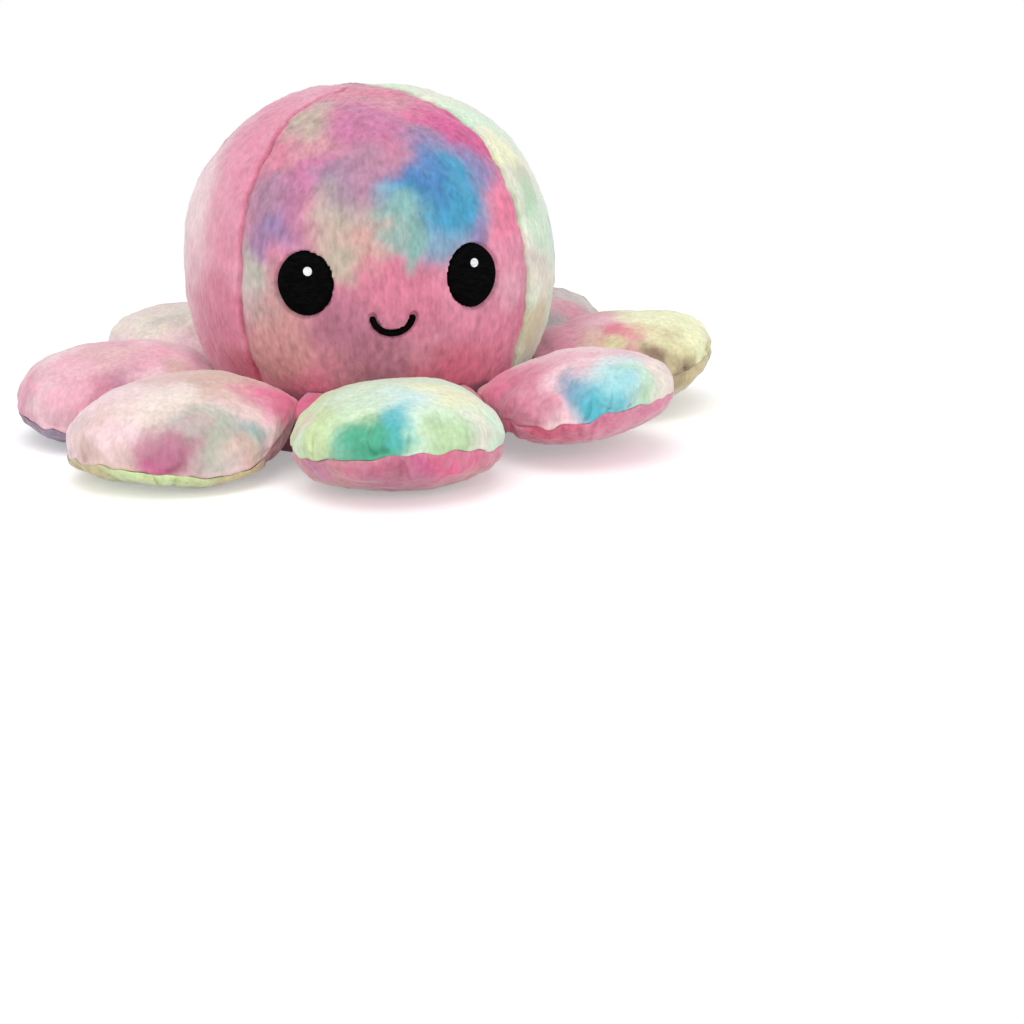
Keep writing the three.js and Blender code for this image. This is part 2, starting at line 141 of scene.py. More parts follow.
# Sizes here are in metres. "wander" is how far the dye strays from its patch.
# Two of these set the shade painted into creases, seams and folds: its strength and darkness
plush = dict(
    wander=0.011, wanderSize=0.016, groundSize=0.03, groundEdges=(0.36, 0.64), edge=0.3,
    stretch=0.45, contrast=2.4, speckle=0.2, speckleSize=0.0011, mottle=0.32, mottleSize=0.002,
    cloud=0.12, cloudSize=0.007, creaseShade=0.6, deep=0.8, roughness=0.85, specular=0.1, sheen=0.55,
    sheenRoughness=0.45,
)


def plushFinish(name, ground, second, patches, mottled=0.4):
    # Dyed pile: a ground of two dyes in clouds, then soft-edged patches as (place, radius, dye,
    # strength). Specks and mottles, stretched down the pile, and wider clouds vary its tone.
    # Shade is painted into creases, seams and folds, where the colour is multiplied by itself
    # and darkened further.
    finish = Finish(bpy.data.materials.new(name))
    place = finish.add("Attribute", {"attribute_name": "dyePlace"}, output="Vector")
    creaseShade = finish.add("Attribute", {"attribute_name": "creaseShade"}, output="Fac")
    stray = finish.vector("SUBTRACT", finish.noise(place, plush["wanderSize"], 4, 1), [0.5] * 3)
    stray = finish.vector("MULTIPLY", stray, [2 * plush["wander"]] * 3)
    spot = finish.vector("ADD", place, stray)
    cloud = finish.ramp(finish.noise(spot, plush["groundSize"]), *plush["groundEdges"])
    color = finish.mix(linear(dyes[ground]), linear(dyes[second]), cloud)
    for centre, radius, dye, strength in patches:
        gap = finish.vector("DISTANCE", spot, [part * mm for part in centre], "Value")
        share = finish.ramp(gap, radius * mm, plush["edge"] * radius * mm) * strength
        color = finish.mix(color, linear(dyes[dye]), share)
    fine, tone = finish.vector("MULTIPLY", place, (1, 1, plush["stretch"])), 1
    for kind, where, share in (("speckle", fine, 1), ("cloud", place, 1),
                               ("mottle", fine, mottled)):
        change = finish.noise(where, plush[kind + "Size"]) - 0.5
        tone = tone + change * (plush["contrast"] * plush[kind] * share)
    grey = finish.add("CombineColor", None, {0: tone, 1: tone, 2: tone})
    color = finish.mix(color, grey, 1.0, "MULTIPLY")
    # Painted shade for creases, seams and folds: the colour times itself, then darker still
    deep = finish.mix(color, color, 1.0, "MULTIPLY")
    deep = finish.mix(deep, [plush["deep"]] * 3 + [1], 1.0, "MULTIPLY")
    return finish.surface({
        "Base Color": finish.mix(color, deep, creaseShade * plush["creaseShade"]),
        "Roughness": plush["roughness"], "Specular IOR Level": plush["specular"],
        "Sheen Weight": plush["sheen"], "Sheen Roughness": plush["sheenRoughness"],
    })


# Surfaces and meshes

def waves(places, size, seed, count=12):
    # Soft noise from about -1 to 1: a sum of sine waves of about one length, which run in random
    # directions
    rng = np.random.default_rng(seed)
    heading = unit(rng.normal(size=(count, 3)))
    heading = heading * (2 * np.pi / (size * rng.uniform(0.75, 1.5, (count, 1))))
    phase = rng.uniform(0, 2 * np.pi, count)
    return np.sin(places @ heading.T + phase).sum(1) / math.sqrt(2 * count)


def unit(vectors):
    return vectors / np.maximum(np.linalg.norm(vectors, axis=1, keepdims=True), 1e-9)


def ease(share):
    # 0 to 1 with a soft start and end
    share = np.clip(share, 0, 1)
    return share * share * (3 - 2 * share)


def squareTo(surface, u, v, step):
    # The side that shows: the cross product of the slopes along v and u, taken off the poles
    u, v = np.clip(u, 2 * step, 1 - 2 * step), np.clip(v, step, 1 - step)
    along = unit(surface(u + step, v) - surface(u - step, v))
    across = unit(surface(u, v + step) - surface(u, v - step))
    return unit(np.cross(across, along))


def flat(values, kind=np.float32):
    return values.astype(kind).ravel()


def crossed(rows, columns):
    # Every pair of two ranges' values, row by row
    return (part.ravel() for part in np.meshgrid(rows, columns, indexing="ij"))


def spun(radius, turn, level):
    # Places at a distance from the axis, turned about it from +X
    return np.stack([radius * np.cos(turn), radius * np.sin(turn), level], -1)


def newObject(name, data):
    piece = bpy.data.objects.new(name, data)
    scene.collection.objects.link(piece)
    return piece


def meshObject(name, points, quads, triangles=None, normals=None, uv=None, marks=None):
    # One mesh from whole arrays, with its own normals, bake map and, for pile, dye places and
    # the shade painted into its creases
    triangles = np.zeros((0, 3), int) if triangles is None else triangles
    mesh = bpy.data.meshes.new(name)
    corners = np.concatenate([quads.ravel(), triangles.ravel()]).astype(np.int32)
    starts = np.append(4 * np.arange(len(quads)), 4 * len(quads) + 3 * np.arange(len(triangles)))
    mesh.vertices.add(len(points))
    mesh.vertices.foreach_set("co", flat(points * mm))
    mesh.loops.add(len(corners))
    mesh.loops.foreach_set("vertex_index", corners)
    mesh.polygons.add(len(starts))
    mesh.polygons.foreach_set("loop_start", flat(starts, np.int32))
    mesh.update(calc_edges=True)
    mesh.polygons.foreach_set("use_smooth", np.ones(len(starts), bool))
    if uv is not None:
        mesh.uv_layers.new(name=bakeMap).uv.foreach_set("vector", flat(uv[corners]))
    if marks is not None:
        places = mesh.attributes.new("dyePlace", "FLOAT_VECTOR", "POINT")
        places.data.foreach_set("vector", flat(marks[:, :3] * mm))
        creases = mesh.attributes.new("creaseShade", "FLOAT", "POINT")
        creases.data.foreach_set("value", flat(marks[:, 3]))
    if normals is not None:
        mesh.normals_split_custom_set_from_vertices(normals.astype(np.float32))
    return newObject(name, mesh)


def gridQuads(rows, columns, first=0, flip=False):
    # Faces of a grid of points, row by row
    at = first + np.arange(rows * columns).reshape(rows, columns)
    near, beside, far, above = at[:-1, :-1], at[:-1, 1:], at[1:, 1:], at[1:, :-1]
    order = (near, above, far, beside) if flip else (near, beside, far, above)
    return np.stack(order, -1).reshape(-1, 4)


def edgeLoop(rows, columns, first=0):
    # The points of a grid once round its edge
    at = first + np.arange(rows * columns).reshape(rows, columns)
    return np.concatenate([at[0, :-1], at[:-1, -1], at[-1, :0:-1], at[:0:-1, 0]])


def closedQuads(rows, columns):
    # Faces of a front grid, of a back grid that follows it, and of the rim between them
    count, edge = rows * columns, edgeLoop(rows, columns)
    onward = np.roll(edge, -1)
    rim = np.stack([onward, edge, edge + count, onward + count], -1)
    return np.vstack([gridQuads(rows, columns), gridQuads(rows, columns, count, True), rim])


def tubeObject(name, rings):
    # A closed body from rings of points, joined round and capped by a fan at either end
    rows, columns = rings.shape[:2]
    at = np.arange(rows * columns).reshape(rows, columns)
    at = np.hstack([at, at[:, :1]])
    quads = np.stack([at[:-1, :-1], at[:-1, 1:], at[1:, 1:], at[1:, :-1]], -1).reshape(-1, 4)
    first = np.stack([at[0, 1:], at[0, :-1], np.full(columns, rows * columns)], -1)
    last = np.stack([at[-1, :-1], at[-1, 1:], np.full(columns, rows * columns + 1)], -1)
    points = np.vstack([rings.reshape(-1, 3), rings[0].mean(0), rings[-1].mean(0)])
    return meshObject(name, points, quads, np.vstack([first, last]))


# For pieces with no shade painted into their creases
def noCreaseShade(u, v):
    return np.zeros(len(u))


# Steps of slopes, how many times coarser the back is, how far the cloth stays under the pile's
# tips in millimetres, and the shares of the bake map that the front and the back take
weave = dict(step=0.003, coarser=4, backStep=0.02, under=0.1, front=0.78, back=0.18)


def clothPiece(name, surface, us, vs, thick, creaseShade=noCreaseShade, keep=None):
    # A closed cloth under a surface: fine on the side that shows, coarser on its back, which lies
    # a thickness further in, and a rim of triangles between the two. Stitches press it down where
    # keep says no.
    def side(us, vs, step):
        u, v = crossed(us, vs)
        return u, v, surface(u, v), squareTo(surface, u, v, step), creaseShade(u, v)

    skip = weave["coarser"]
    backUs, backVs = us[::skip], vs[::skip]
    u, v, tips, normals, folded = side(us, vs, weave["step"])
    backU, backV, backTips, backNormals, backFolded = side(backUs, backVs, weave["backStep"])
    grid, backGrid = (len(us), len(vs)), (len(backUs), len(backVs), len(tips))
    edge, back = edgeLoop(*grid), edgeLoop(*backGrid)
    nearest = back[(np.arange(len(edge)) + skip // 2) // skip % len(back)]
    rim = np.vstack([np.stack([np.roll(edge, -1), edge, nearest], -1),
                     np.stack([edge[skip // 2::skip], back, np.roll(back, -1)], -1)])
    pressed = np.zeros(len(tips)) if keep is None else stitched["pressed"] * ~keep(tips)
    points = np.vstack([tips - (weave["under"] + pressed)[:, None] * normals,
                        backTips - thick * backNormals])
    backHigh = 1 - weave["back"] + weave["back"] * backU
    uv = np.vstack([np.stack([v, weave["front"] * u], -1), np.stack([backV, backHigh], -1)])
    # Each point's dye place and the share of shade painted into its creases
    marks = np.vstack([np.column_stack([tips, folded]), np.column_stack([backTips, backFolded])])
    quads = np.vstack([gridQuads(*grid), gridQuads(*backGrid, True)])
    return meshObject(name, points, quads, rim, np.vstack([normals, -backNormals]), uv, marks)


def shares(count, crowd=0.0):
    # Even steps from 0 to 1, crowded towards both ends
    even = np.linspace(0, 1, count)
    return (1 - crowd) * even + crowd * (0.5 - 0.5 * np.cos(np.pi * even))


def dress(piece, body, slot, material, *nodes):
    piece.data.materials.append(material)
    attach(piece, body)
    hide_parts(*nodes)
    return piece


nap = dict(
    relief=0.085, size=1.4, stretch=0.5, tuft=0.12, tuftSize=3.6, parting=0.12, partingSize=6,
    partingWidth=0.3, parted=0.3, partedSize=10,
)


def napRelief(places, seed=7):
    # How high the pile stands, in millimetres: fine ripples, drawn out down the pile, on wider
    # ones, less grooves along the middle of a third noise, by exp(-(noise / width)^2), where a
    # fourth lets them be
    drawn = places * (1, 1, nap["stretch"])
    groove = np.exp(-(waves(drawn, nap["partingSize"], seed + 2) / nap["partingWidth"]) ** 2)
    groove *= np.clip(nap["parted"] + waves(places, nap["partedSize"], seed + 3), 0, 1)
    return (nap["relief"] * waves(drawn, nap["size"], seed, 16)
            + nap["tuft"] * waves(drawn, nap["tuftSize"], seed + 1) - nap["parting"] * groove)


# Head

# One of these, in millimetres, is how far from a seam the painted shade reaches
head = dict(
    facing=1, radius=54, belt=45, rise=54, drop=54, power=2.3, foot=9.4, crown=0.05, dip=0.75,
    dipReach=2.2, lump=0.5, lumpSize=26, dent=0.16, dentSize=7, pucker=0.5, puckerSize=5.5,
    puckerReach=9, creaseShade=1.7, cloth=3, mottled=(0.35, 1.0),
)
goreTurns = dict(face=(-48, 48), right=(48, 132), back=(132, 228), left=(228, 312))
# How far from the axis the seams fade in, how far apart their waves are taken, both in
# millimetres, and the most of a gore's width that the shade painted along a seam takes
gore = dict(fade=12, apart=90, shadeShare=0.2)


def domeSection(form, angle):
    # Half a dome's section: radius r cos(a)^(2/p), height belt + rise sin(a)^(2/p), with p = 2
    # below the belt
    power = np.where(angle < 0, 2, form["power"])
    reach = np.where(angle < 0, form["drop"], form["rise"])
    across = np.cos(angle) ** (2 / power)
    upward = np.sign(angle) * np.abs(np.sin(angle)) ** (2 / power)
    return form["radius"] * across, form["belt"] + reach * upward


def domeRadius(form, level):
    # How wide a dome is at a level
    gone = (level - form["belt"]) / np.where(level > form["belt"], form["rise"], form["drop"])
    power = np.where(gone > 0, form["power"], 2)
    return form["radius"] * np.clip(1 - np.abs(gone) ** power, 0, 1) ** (1 / power)


def onDome(form, turn, level):
    # The point of a dome at a turn in degrees and a level
    radius, angle = float(domeRadius(form, np.float64(level))), math.radians(turn)
    return [radius * math.sin(angle), -radius * math.cos(angle), level]


def lumps(form, places):
    # Soft unevenness of stuffed cloth, in millimetres
    return (form["lump"] * waves(places, form["lumpSize"], 11)
            + form["dent"] * waves(places, form["dentSize"], 12))


def goreSurface(form, start, end):
    # A gore over u from its foot to the crown and v from one seam to the other. It dips into both
    # seams, puckers near them and has soft lumps. Neighbours share their seam's waves.
    low = math.asin((form["foot"] - form["belt"]) / form["drop"])
    high = math.acos((form["crown"] / form["radius"]) ** (form["power"] / 2))
    wide = abs(math.radians(end - start))

    def surface(u, v):
        angle = low + (high - low) * u
        turn = np.radians(start + (end - start) * v)
        x, y = np.sin(turn), -np.cos(turn)
        radius, level = domeSection(form, angle)
        out = np.stack([x * np.cos(angle), y * np.cos(angle), np.sin(angle)], -1)
        place = np.stack([radius * x, radius * y, level], -1)
        gap, near = np.minimum(v, 1 - v) * wide * radius, ease(radius / gore["fade"])
        seam = np.radians(np.where(v < 0.5, start, end))
        line = np.stack([gore["apart"] * np.sin(seam), gore["apart"] * np.cos(seam),
                         form["radius"] * angle], -1)
        pull = near * np.clip(1 - gap / form["puckerReach"], 0, 1) ** 2
        move = lumps(form, place) + napRelief(place)
        move += form["pucker"] * pull * waves(line, form["puckerSize"], 13)
        move -= near * form["dip"] * np.clip(1 - gap / form["dipReach"], 0, 1) ** 2
        return place + out * (form["facing"] * move)[:, None]

    # How much shade is painted in along both seams: full at a seam, none a little way in
    def creaseShade(u, v):
        radius = domeSection(form, low + (high - low) * u)[0]
        reach = np.minimum(form["creaseShade"], gore["shadeShare"] * wide * radius) + 0.02
        return ease(1 - np.minimum(v, 1 - v) * wide * radius / reach)

    return surface, creaseShade


eye = dict(
    halfWidth=8.15, halfHeight=8.9, turn=25.7, level=50.5, top=0.1, foot=2.0, glint=1.3,
    glintAside=(1.4, 0.2), glintAbove=3.5, glintDepth=0.3, glintStitch=(0.4, 0.05),
)
smile = dict(level=41.4, halfWidth=5.7, depth=4.9, halfStroke=0.92, top=-0.35, foot=1.8)
grumpyEye = dict(
    halfWidth=6.6, halfHeight=8.65, turn=20.2, level=39, outerLid=40, innerLid=10, glint=1.2,
    glintAside=(2.2, 2.2), glintAbove=0.4,
)
frown = dict(level=21.5, halfWidth=4.6, depth=5.2, halfStroke=0.8)
# Cloth round and under the embroidery, and how far from a mouth's middle a stitch can be
stitched = dict(margin=0.25, pressed=1.6, mouthReach=10, mouthSteps=25)


def arc(curve, t, bend):
    # A mouth's line over t: half an ellipse below (bend -1) or above (bend 1) its corners
    angle, wide, deep = np.pi * (1 - t), curve["halfWidth"], bend * curve["depth"]
    path = np.stack([wide * np.cos(angle), deep * np.sin(angle)], -1)
    onward = np.stack([wide * np.sin(angle), -deep * np.cos(angle)], -1)
    return path, unit(onward)


def clearOf(form, pair, mouth, bend):
    # Whether cloth is free of stitches at a place: outside both eyes' ovals and off the mouth's
    # line
    margin = stitched["margin"]

    def keep(places):
        turn = np.arctan2(places[:, 0], -places[:, 1])
        kept = np.ones(len(places), bool)
        for side in (-1, 1):
            across = (turn - side * math.radians(pair["turn"])) * form["radius"]
            up = places[:, 2] - pair["level"]
            kept &= ((across / (pair["halfWidth"] + margin)) ** 2
                     + (up / (pair["halfHeight"] + margin)) ** 2) > 1
        path = arc(mouth, np.linspace(0, 1, stitched["mouthSteps"]), bend)[0]
        spread = np.stack([turn * form["radius"], places[:, 2] - mouth["level"]], -1)
        near = np.abs(spread).max(1) < stitched["mouthReach"]
        gap = np.linalg.norm(spread[near, None] - path[None], axis=2).min(1)
        kept[near] &= gap > mouth["halfStroke"] + margin
        return kept

    return keep


headDyes = {
    "face": ("dusk", "rose", [
        ((40, 62), 26, "pink", 0.9), ((4, 46), 17, "rose", 0.6), ((30, 38), 18, "pink", 0.8),
        ((-33, 92), 10, "sand", 0.9), ((-24, 84), 12, "salmon", 0.4),
        ((-7, 90), 16, "orchid", 0.9), ((-24, 79), 11, "orchid", 0.9),
        ((8, 90), 12, "orchid", 0.8), ((40, 89), 19, "magenta", 1.0),
        ((16, 86), 10, "mauve", 0.9), ((20, 82), 15, "violet", 0.7),
        ((35, 77), 12, "violet", 0.8), ((22, 73), 17, "sky", 1.0), ((15, 66), 14, "sky", 0.95),
        ((9, 76), 12, "blue", 0.95), ((5, 73), 8, "sky", 0.8), ((2, 70), 10, "seafoam", 0.9),
        ((3, 61), 11, "seafoam", 0.9), ((16, 59), 9, "steel", 0.8), ((28, 63), 7, "violet", 0.7),
        ((46, 66), 12, "hotPink", 0.5), ((-40, 73), 13, "mauve", 0.95),
        ((-38, 64), 10, "violet", 0.7), ((-29, 72), 11, "orchid", 0.6),
        ((-15, 75), 11, "slate", 0.7), ((-8, 79), 13, "mauve", 0.7), ((-15, 65), 16, "sand", 0.8),
        ((-6, 60), 11, "salmon", 0.8), ((-14, 56), 9, "sand", 0.9), ((-43, 55), 9, "sage", 0.9),
        ((-42, 47), 13, "grey", 0.8), ((-31, 45), 14, "taupe", 0.7),
        ((-36, 33), 20, "taupe", 1.0), ((-17, 39), 13, "plum", 0.8), ((-6, 29), 17, "plum", 0.9),
        ((18, 22), 16, "crimson", 0.6), ((34, 24), 14, "rose", 0.6), ((42, 44), 9, "petal", 0.6),
        ((-28, 18), 13, "rose", 0.7), ((5, 60), 9, "seafoam", 0.8), ((35, 80), 8, "violet", 0.6),
    ]),
    "right": ("cream", "mint", [
        ((62, 90), 12, "mint", 0.8), ((57, 81), 11, "yellow", 0.9), ((58, 74), 8, "sage", 0.7),
        ((57, 68), 10, "green", 0.9), ((56, 60), 9, "mint", 0.9), ((58, 50), 9, "grey", 0.7),
        ((60, 42), 12, "cream", 0.8), ((57, 30), 14, "straw", 0.7), ((95, 60), 24, "ice", 0.8),
        ((115, 35), 22, "lime", 0.8),
    ]),
    "back": ("pink", "mauve", [
        ((180, 92), 30, "pink", 1.0), ((160, 75), 20, "orchid", 0.7), ((200, 55), 22, "sky", 0.7),
        ((180, 35), 24, "rose", 0.7), ((150, 45), 18, "cream", 0.8), ((210, 85), 20, "mint", 0.7),
    ]),
    # The left gore's pale petal and blush patches on its outer side are partly its pale dye and
    # partly a painted highlight, the sheen that side shows from the front. Towards the seam and
    # the bottom it turns deeper rose and crimson.
    "left": ("petal", "pink", [
        ((-90, 60), 40, "petal", 0.9), ((-96, 62), 32, "blush", 0.9),
        ((-52, 60), 12, "pink", 0.8), ((-50, 75), 14, "pink", 0.8), ((-64, 34), 20, "rose", 0.9),
        ((-54, 22), 13, "crimson", 0.8), ((-54, 44), 10, "rose", 0.8),
        ((-84, 68), 18, "blush", 0.8), ((-120, 55), 26, "rose", 0.7),
        ((-115, 80), 20, "mauve", 0.5),
    ]),
}


def sewDome(kind, form, grid, features, gores, finishName):
    # A dome's four gores. The lining's run the other way round, since its good side faces in.
    for side, turns in goreTurns.items():
        surface, creaseShade = goreSurface(form, *turns[::form["facing"]])
        keep = clearOf(form, *features) if side == "face" else None
        piece = clothPiece(f"{kind}_{side}_cloth", surface, *grid, form["cloth"], creaseShade, keep)
        ground, second, patches = gores[side]
        patches = [(onDome(form, *at), *dyed) for at, *dyed in patches]
        material = plushFinish(f"{side} {finishName}", ground, second, patches,
                               form["mottled"][side == "face"])
        dress(piece, "body", f"{kind}_plush", material, f"{kind}_{side}_panel")


sewDome("head", head, (shares(281), shares(201, 0.35)), (eye, smile, -1), headDyes, "plush")
print("head cloth made")


# Lining of the pocket, which shows the grumpy face when the toy is turned inside out

# As on the head, one of these, in millimetres, is how far from a seam the painted shade reaches
pocket = dict(
    facing=-1, radius=33.0, belt=28, rise=35, drop=45, power=2.1, foot=9.4, crown=0.05, dip=0.6,
    dipReach=4, lump=0.3, lumpSize=20, dent=0.1, dentSize=6, pucker=0.25, puckerSize=6,
    puckerReach=8, creaseShade=1.6, cloth=3, mottled=(0.4, 0.4),
)
liningDyes = {
    "face": ("magenta", "orchid", [
        ((-20, 50), 16, "mauve", 0.8), ((25, 40), 16, "violet", 0.6), ((-8, 22), 13, "moss", 0.8),
        ((20, 18), 13, "straw", 0.9),
    ]),
    "right": ("pink", "hotPink", [((90, 50), 18, "yellow", 0.8), ((80, 25), 16, "blush", 0.8)]),
    "back": ("mauve", "pink", [((180, 40), 20, "teal", 0.8), ((205, 20), 16, "lime", 0.8)]),
    "left": ("cream", "mint", [((-85, 50), 18, "lime", 0.8), ((-110, 25), 18, "ice", 0.9)]),
}

sewDome("lining", pocket, (shares(121), shares(97, 0.3)), (grumpyEye, frown, 1), liningDyes,
        "lining")
print("lining made")


# Embroidery

thread = dict(size=0.0006, drawn=0.3, tones=(0.35, 0.75), roughness=0.75, specular=0.03)


def threadFinish(name, color, worn):
    # Thread that varies between two tones from stitch to stitch
    finish = Finish(bpy.data.materials.new(name))
    place = finish.add("TexCoord", output="Object")
    place = finish.vector("MULTIPLY", place, (thread["drawn"], thread["drawn"], 1))
    tone = finish.ramp(finish.noise(place, thread["size"], 3), *thread["tones"])
    return finish.surface({
        "Base Color": finish.mix(linear(color), linear(worn), tone),
        "Roughness": thread["roughness"], "Specular IOR Level": thread["specular"],
    })


darkThread = threadFinish("dark thread", "#020202", "#0b0b0d")
whiteThread = threadFinish("white thread", "#f4f4f8", "#cfd0d8")


def stitchSpot(form, turn, level, across, up, depth):
    # Where a stitch lies: across and up from a middle, at a depth under the pile's tips. Across
    # runs to the right as seen from the side that shows.
    radius = domeRadius(form, level + up)
    where = math.radians(turn) + form["facing"] * across / form["radius"]
    out = np.stack([np.sin(where), -np.cos(where)], -1)
    place = np.column_stack([radius[:, None] * out, level + up])
    place[:, :2] += out * (form["facing"] * (lumps(form, place) - depth))[:, None]
    return place


# Stitches in millimetres. Roll and fade are the powers by which the edge rolls down and the
# stitches' bulge fades towards it.
satin = dict(stitch=0.42, relief=0.08, columns=33, widest=0.99, roll=10, fade=4, backing=0.2)


def stitchPatch(name, form, turn, level, outline, top, foot,
                stitch=satin["stitch"], relief=satin["relief"]):
    # Satin stitches side by side: rows of thread bulge by |sin|, and the edge rolls down to the
    # cloth. The outline gives across and the lowest and highest stitch for s from -1 to 1.
    columns = satin["columns"]
    s = np.sin(np.linspace(-satin["widest"], satin["widest"], columns) * np.pi / 2)
    across, lowest, highest = outline(s)
    rows = 4 * round((highest - lowest).max() / stitch) + 1
    t, s = crossed(np.linspace(-1, 1, rows), s)
    across, lowest, highest = (np.tile(part, rows) for part in (across, lowest, highest))
    up = lowest + (highest - lowest) * (t + 1) / 2
    rim = 1 - (1 - s ** 2) * (1 - t ** 2)
    bulge = relief * np.abs(np.sin(up / stitch * np.pi)) * (1 - rim ** satin["fade"])
    depth = top + (foot - top) * rim ** satin["roll"] - bulge
    front = stitchSpot(form, turn, level, across, up, depth)
    back = stitchSpot(form, turn, level, across, up, foot + satin["backing"])
    aside, high = np.tile((s + 1) / 2, 2), 0.45 * (t + 1) / 2
    uv = np.stack([aside, np.concatenate([high, 0.55 + high])], -1)
    return meshObject(name, np.vstack([front, back]), closedQuads(rows, columns), uv=uv)


def oval(halfWidth, halfHeight):
    # Across is w s, and up is +-h sqrt(1 - s^2)
    def outline(s):
        high = halfHeight * np.sqrt(1 - s ** 2)
        return halfWidth * s, -high, high

    return outline


def liddedOval(halfWidth, halfHeight, leftLid, rightLid):
    # An oval under a straight lid between two of its points, at angles above its middle
    ends = [(-math.cos(leftLid), math.sin(leftLid)), (math.cos(rightLid), math.sin(rightLid))]
    fall = (ends[1][1] - ends[0][1]) / (ends[1][0] - ends[0][0])

    def outline(s):
        high = np.sqrt(1 - s ** 2)
        lid = ends[0][1] + (s - ends[0][0]) * fall
        top = np.maximum(np.minimum(high, lid), -0.98 * high)
        return halfWidth * s, -halfHeight * high, halfHeight * top

    return outline


cord = dict(steps=81, ring=14, past=1.0005, blunt=26, least=0.01, twist=0.05, twists=36)


def corded(name, form, curve, bend):
    # A thick line of satin stitches: a ring round the mouth's line. Its width goes by
    # (1 - |2t - 1|^26)^(1/2), which closes it at its ends.
    t = np.linspace(0, 1, cord["steps"])
    path, onward = arc(curve, t, bend)
    sideways = np.stack([-onward[:, 1], onward[:, 0]], -1)
    angle = np.linspace(0, 2 * np.pi, cord["ring"], endpoint=False)
    closing = 1 - np.abs(cord["past"] * (2 * t - 1)) ** cord["blunt"]
    width = curve["halfStroke"] * closing.clip(cord["least"], 1) ** 0.5
    width = (width * (1 + cord["twist"] * np.sin(t * 2 * np.pi * cord["twists"])))[:, None]
    across, up = (path[:, None, part] + sideways[:, None, part] * width * np.cos(angle)
                  for part in (0, 1))
    rise = np.clip(np.sin(angle), -0.2, 1) * (width / curve["halfStroke"]) ** 0.5
    depth = smile["foot"] - (smile["foot"] - smile["top"]) * rise
    rings = stitchSpot(form, 0, curve["level"], across.ravel(), up.ravel(), depth.ravel())
    return tubeObject(name, rings.reshape(cord["steps"], cord["ring"], 3))


def stitchEye(form, pair, names, outline, side):
    # An eye and its glint, at a side of a face
    turn, top, deep = side * pair["turn"], eye["top"], eye["glintDepth"]
    piece = stitchPatch(f"{names[0]}_stitching", form, turn, pair["level"], outline, top,
                        eye["foot"])
    dress(piece, "body", "dark_thread", darkThread, names[0])
    turn += form["facing"] * math.degrees(pair["glintAside"][side > 0] / form["radius"])
    piece = stitchPatch(f"{names[1]}_stitching", form, turn, pair["level"] + pair["glintAbove"],
                        oval(pair["glint"], pair["glint"]), top - deep, top + deep,
                        *eye["glintStitch"])
    dress(piece, "body", "white_thread", whiteThread, names[1])


lids = [math.radians(grumpyEye[name]) for name in ("outerLid", "innerLid")]
openEye, lidded = ((pair["halfWidth"], pair["halfHeight"]) for pair in (eye, grumpyEye))
for side, name in ((-1, "left"), (1, "right")):
    stitchEye(head, eye, (f"eye_{name}", f"eye_glint_{name}"), oval(*openEye), side)
    outline = liddedOval(*lidded, *(lids if side < 0 else lids[::-1]))
    names = f"grumpy_eye_{name}", f"grumpy_glint_{name}"
    stitchEye(pocket, grumpyEye, names, outline, -side)
dress(corded("smile_stitching", head, smile, -1), "body", "dark_thread", darkThread, "smile")
dress(corded("frown_stitching", pocket, frown, 1), "body", "dark_thread", darkThread, "frown")
print("both faces stitched")


# Tentacles

# In millimetres. A reach is how far from the side seam or from the hinge line something fades,
# a size is the length of its waves, and the two cloths' folds are taken far apart so that they
# differ.
# Two of these set the shade painted along the side seam: how far it reaches and how strong
pad = dict(
    length=51.58, root=-4.5, neckHalfWidth=17.0, halfWidth=27.04, neckRoll=4.2, rise=15.1,
    belly=12.3, sag=4, fullest=0.47, swell=0.7, soleLevel=0.2, pinch=0.25, pinchReach=1.2,
    sway=0.75, swaySize=7, swayReach=8, fuller=1.6, fold=1.3, foldSize=8, foldWidth=0.15,
    foldReach=8, foldLean=0.35, foldShare=0.5, foldVaries=1.4, foldSpread=18, lump=0.4,
    lumpSize=18, lumpReach=4, nap=0.5, seamReach=1.5, dropReach=30, bendReach=25, crowd=0.9,
    tuckIn=0.3, tuckAbove=0.5, tuckBelow=0.45, square=0.45, squareReach=16, neckCalm=14,
    stiffUnder=9, leastFold=0.2, tipLean=0.6, tipFade=3, creaseShade=0.9, shadeShare=0.3, round=30,
    cloth=1.6, thinCloth=0.8, thinFrom=3, blendFrom=46.9, blendTo=57, apart=40,
    looseAtSeam=0.5,
)
# How each tentacle's stuffing bends it aside and up on its way out, in degrees, how much lower
# its side seam lies, in millimetres, and how much longer, wider or flatter below it is
shapes = {
    "tentacle_1": dict(up=2), "tentacle_7": dict(aside=-1, up=0.5, drop=1.6),
    "tentacle_5": dict(aside=1.5, up=-1.5, drop=5.5, longer=0.04),
    "tentacle_6": dict(aside=-5.5, up=-1.5, drop=6.5, longer=0.05),
    "tentacle_8": dict(aside=-1, up=4, belly=0.8, longer=-0.06, wide=0.94, drop=1.6),
}
hinges = {}
for joint in frame["joints"]:
    place = [part / mm for part in joint["pos_m"]]
    hinges[joint["child"]] = {"radius": math.hypot(place[0], place[1]), "height": place[2],
                              "turn": math.atan2(place[1], place[0])}


def padSection(s, swell, inset=0.0):
    # Half the width and half the thickness of a tentacle at s from its hinge line. They swell by
    # sin from the neck to the fullest place, then close as an ellipse.
    fullest, length = pad["fullest"] * pad["length"], pad["length"] - inset
    grown = np.sin(np.clip(s / fullest, 0, 1) * np.pi / 2)
    closing = np.clip((s - fullest) / (length - fullest), 0, 1)
    close = np.sqrt(1 - closing ** 2)
    neck, roll = pad["neckHalfWidth"], pad["neckRoll"]
    width = (neck - inset + (pad["halfWidth"] - neck) * grown) * close
    thick = (roll - inset + (swell - roll) * grown ** pad["swell"]) * close
    return width, thick, closing, close


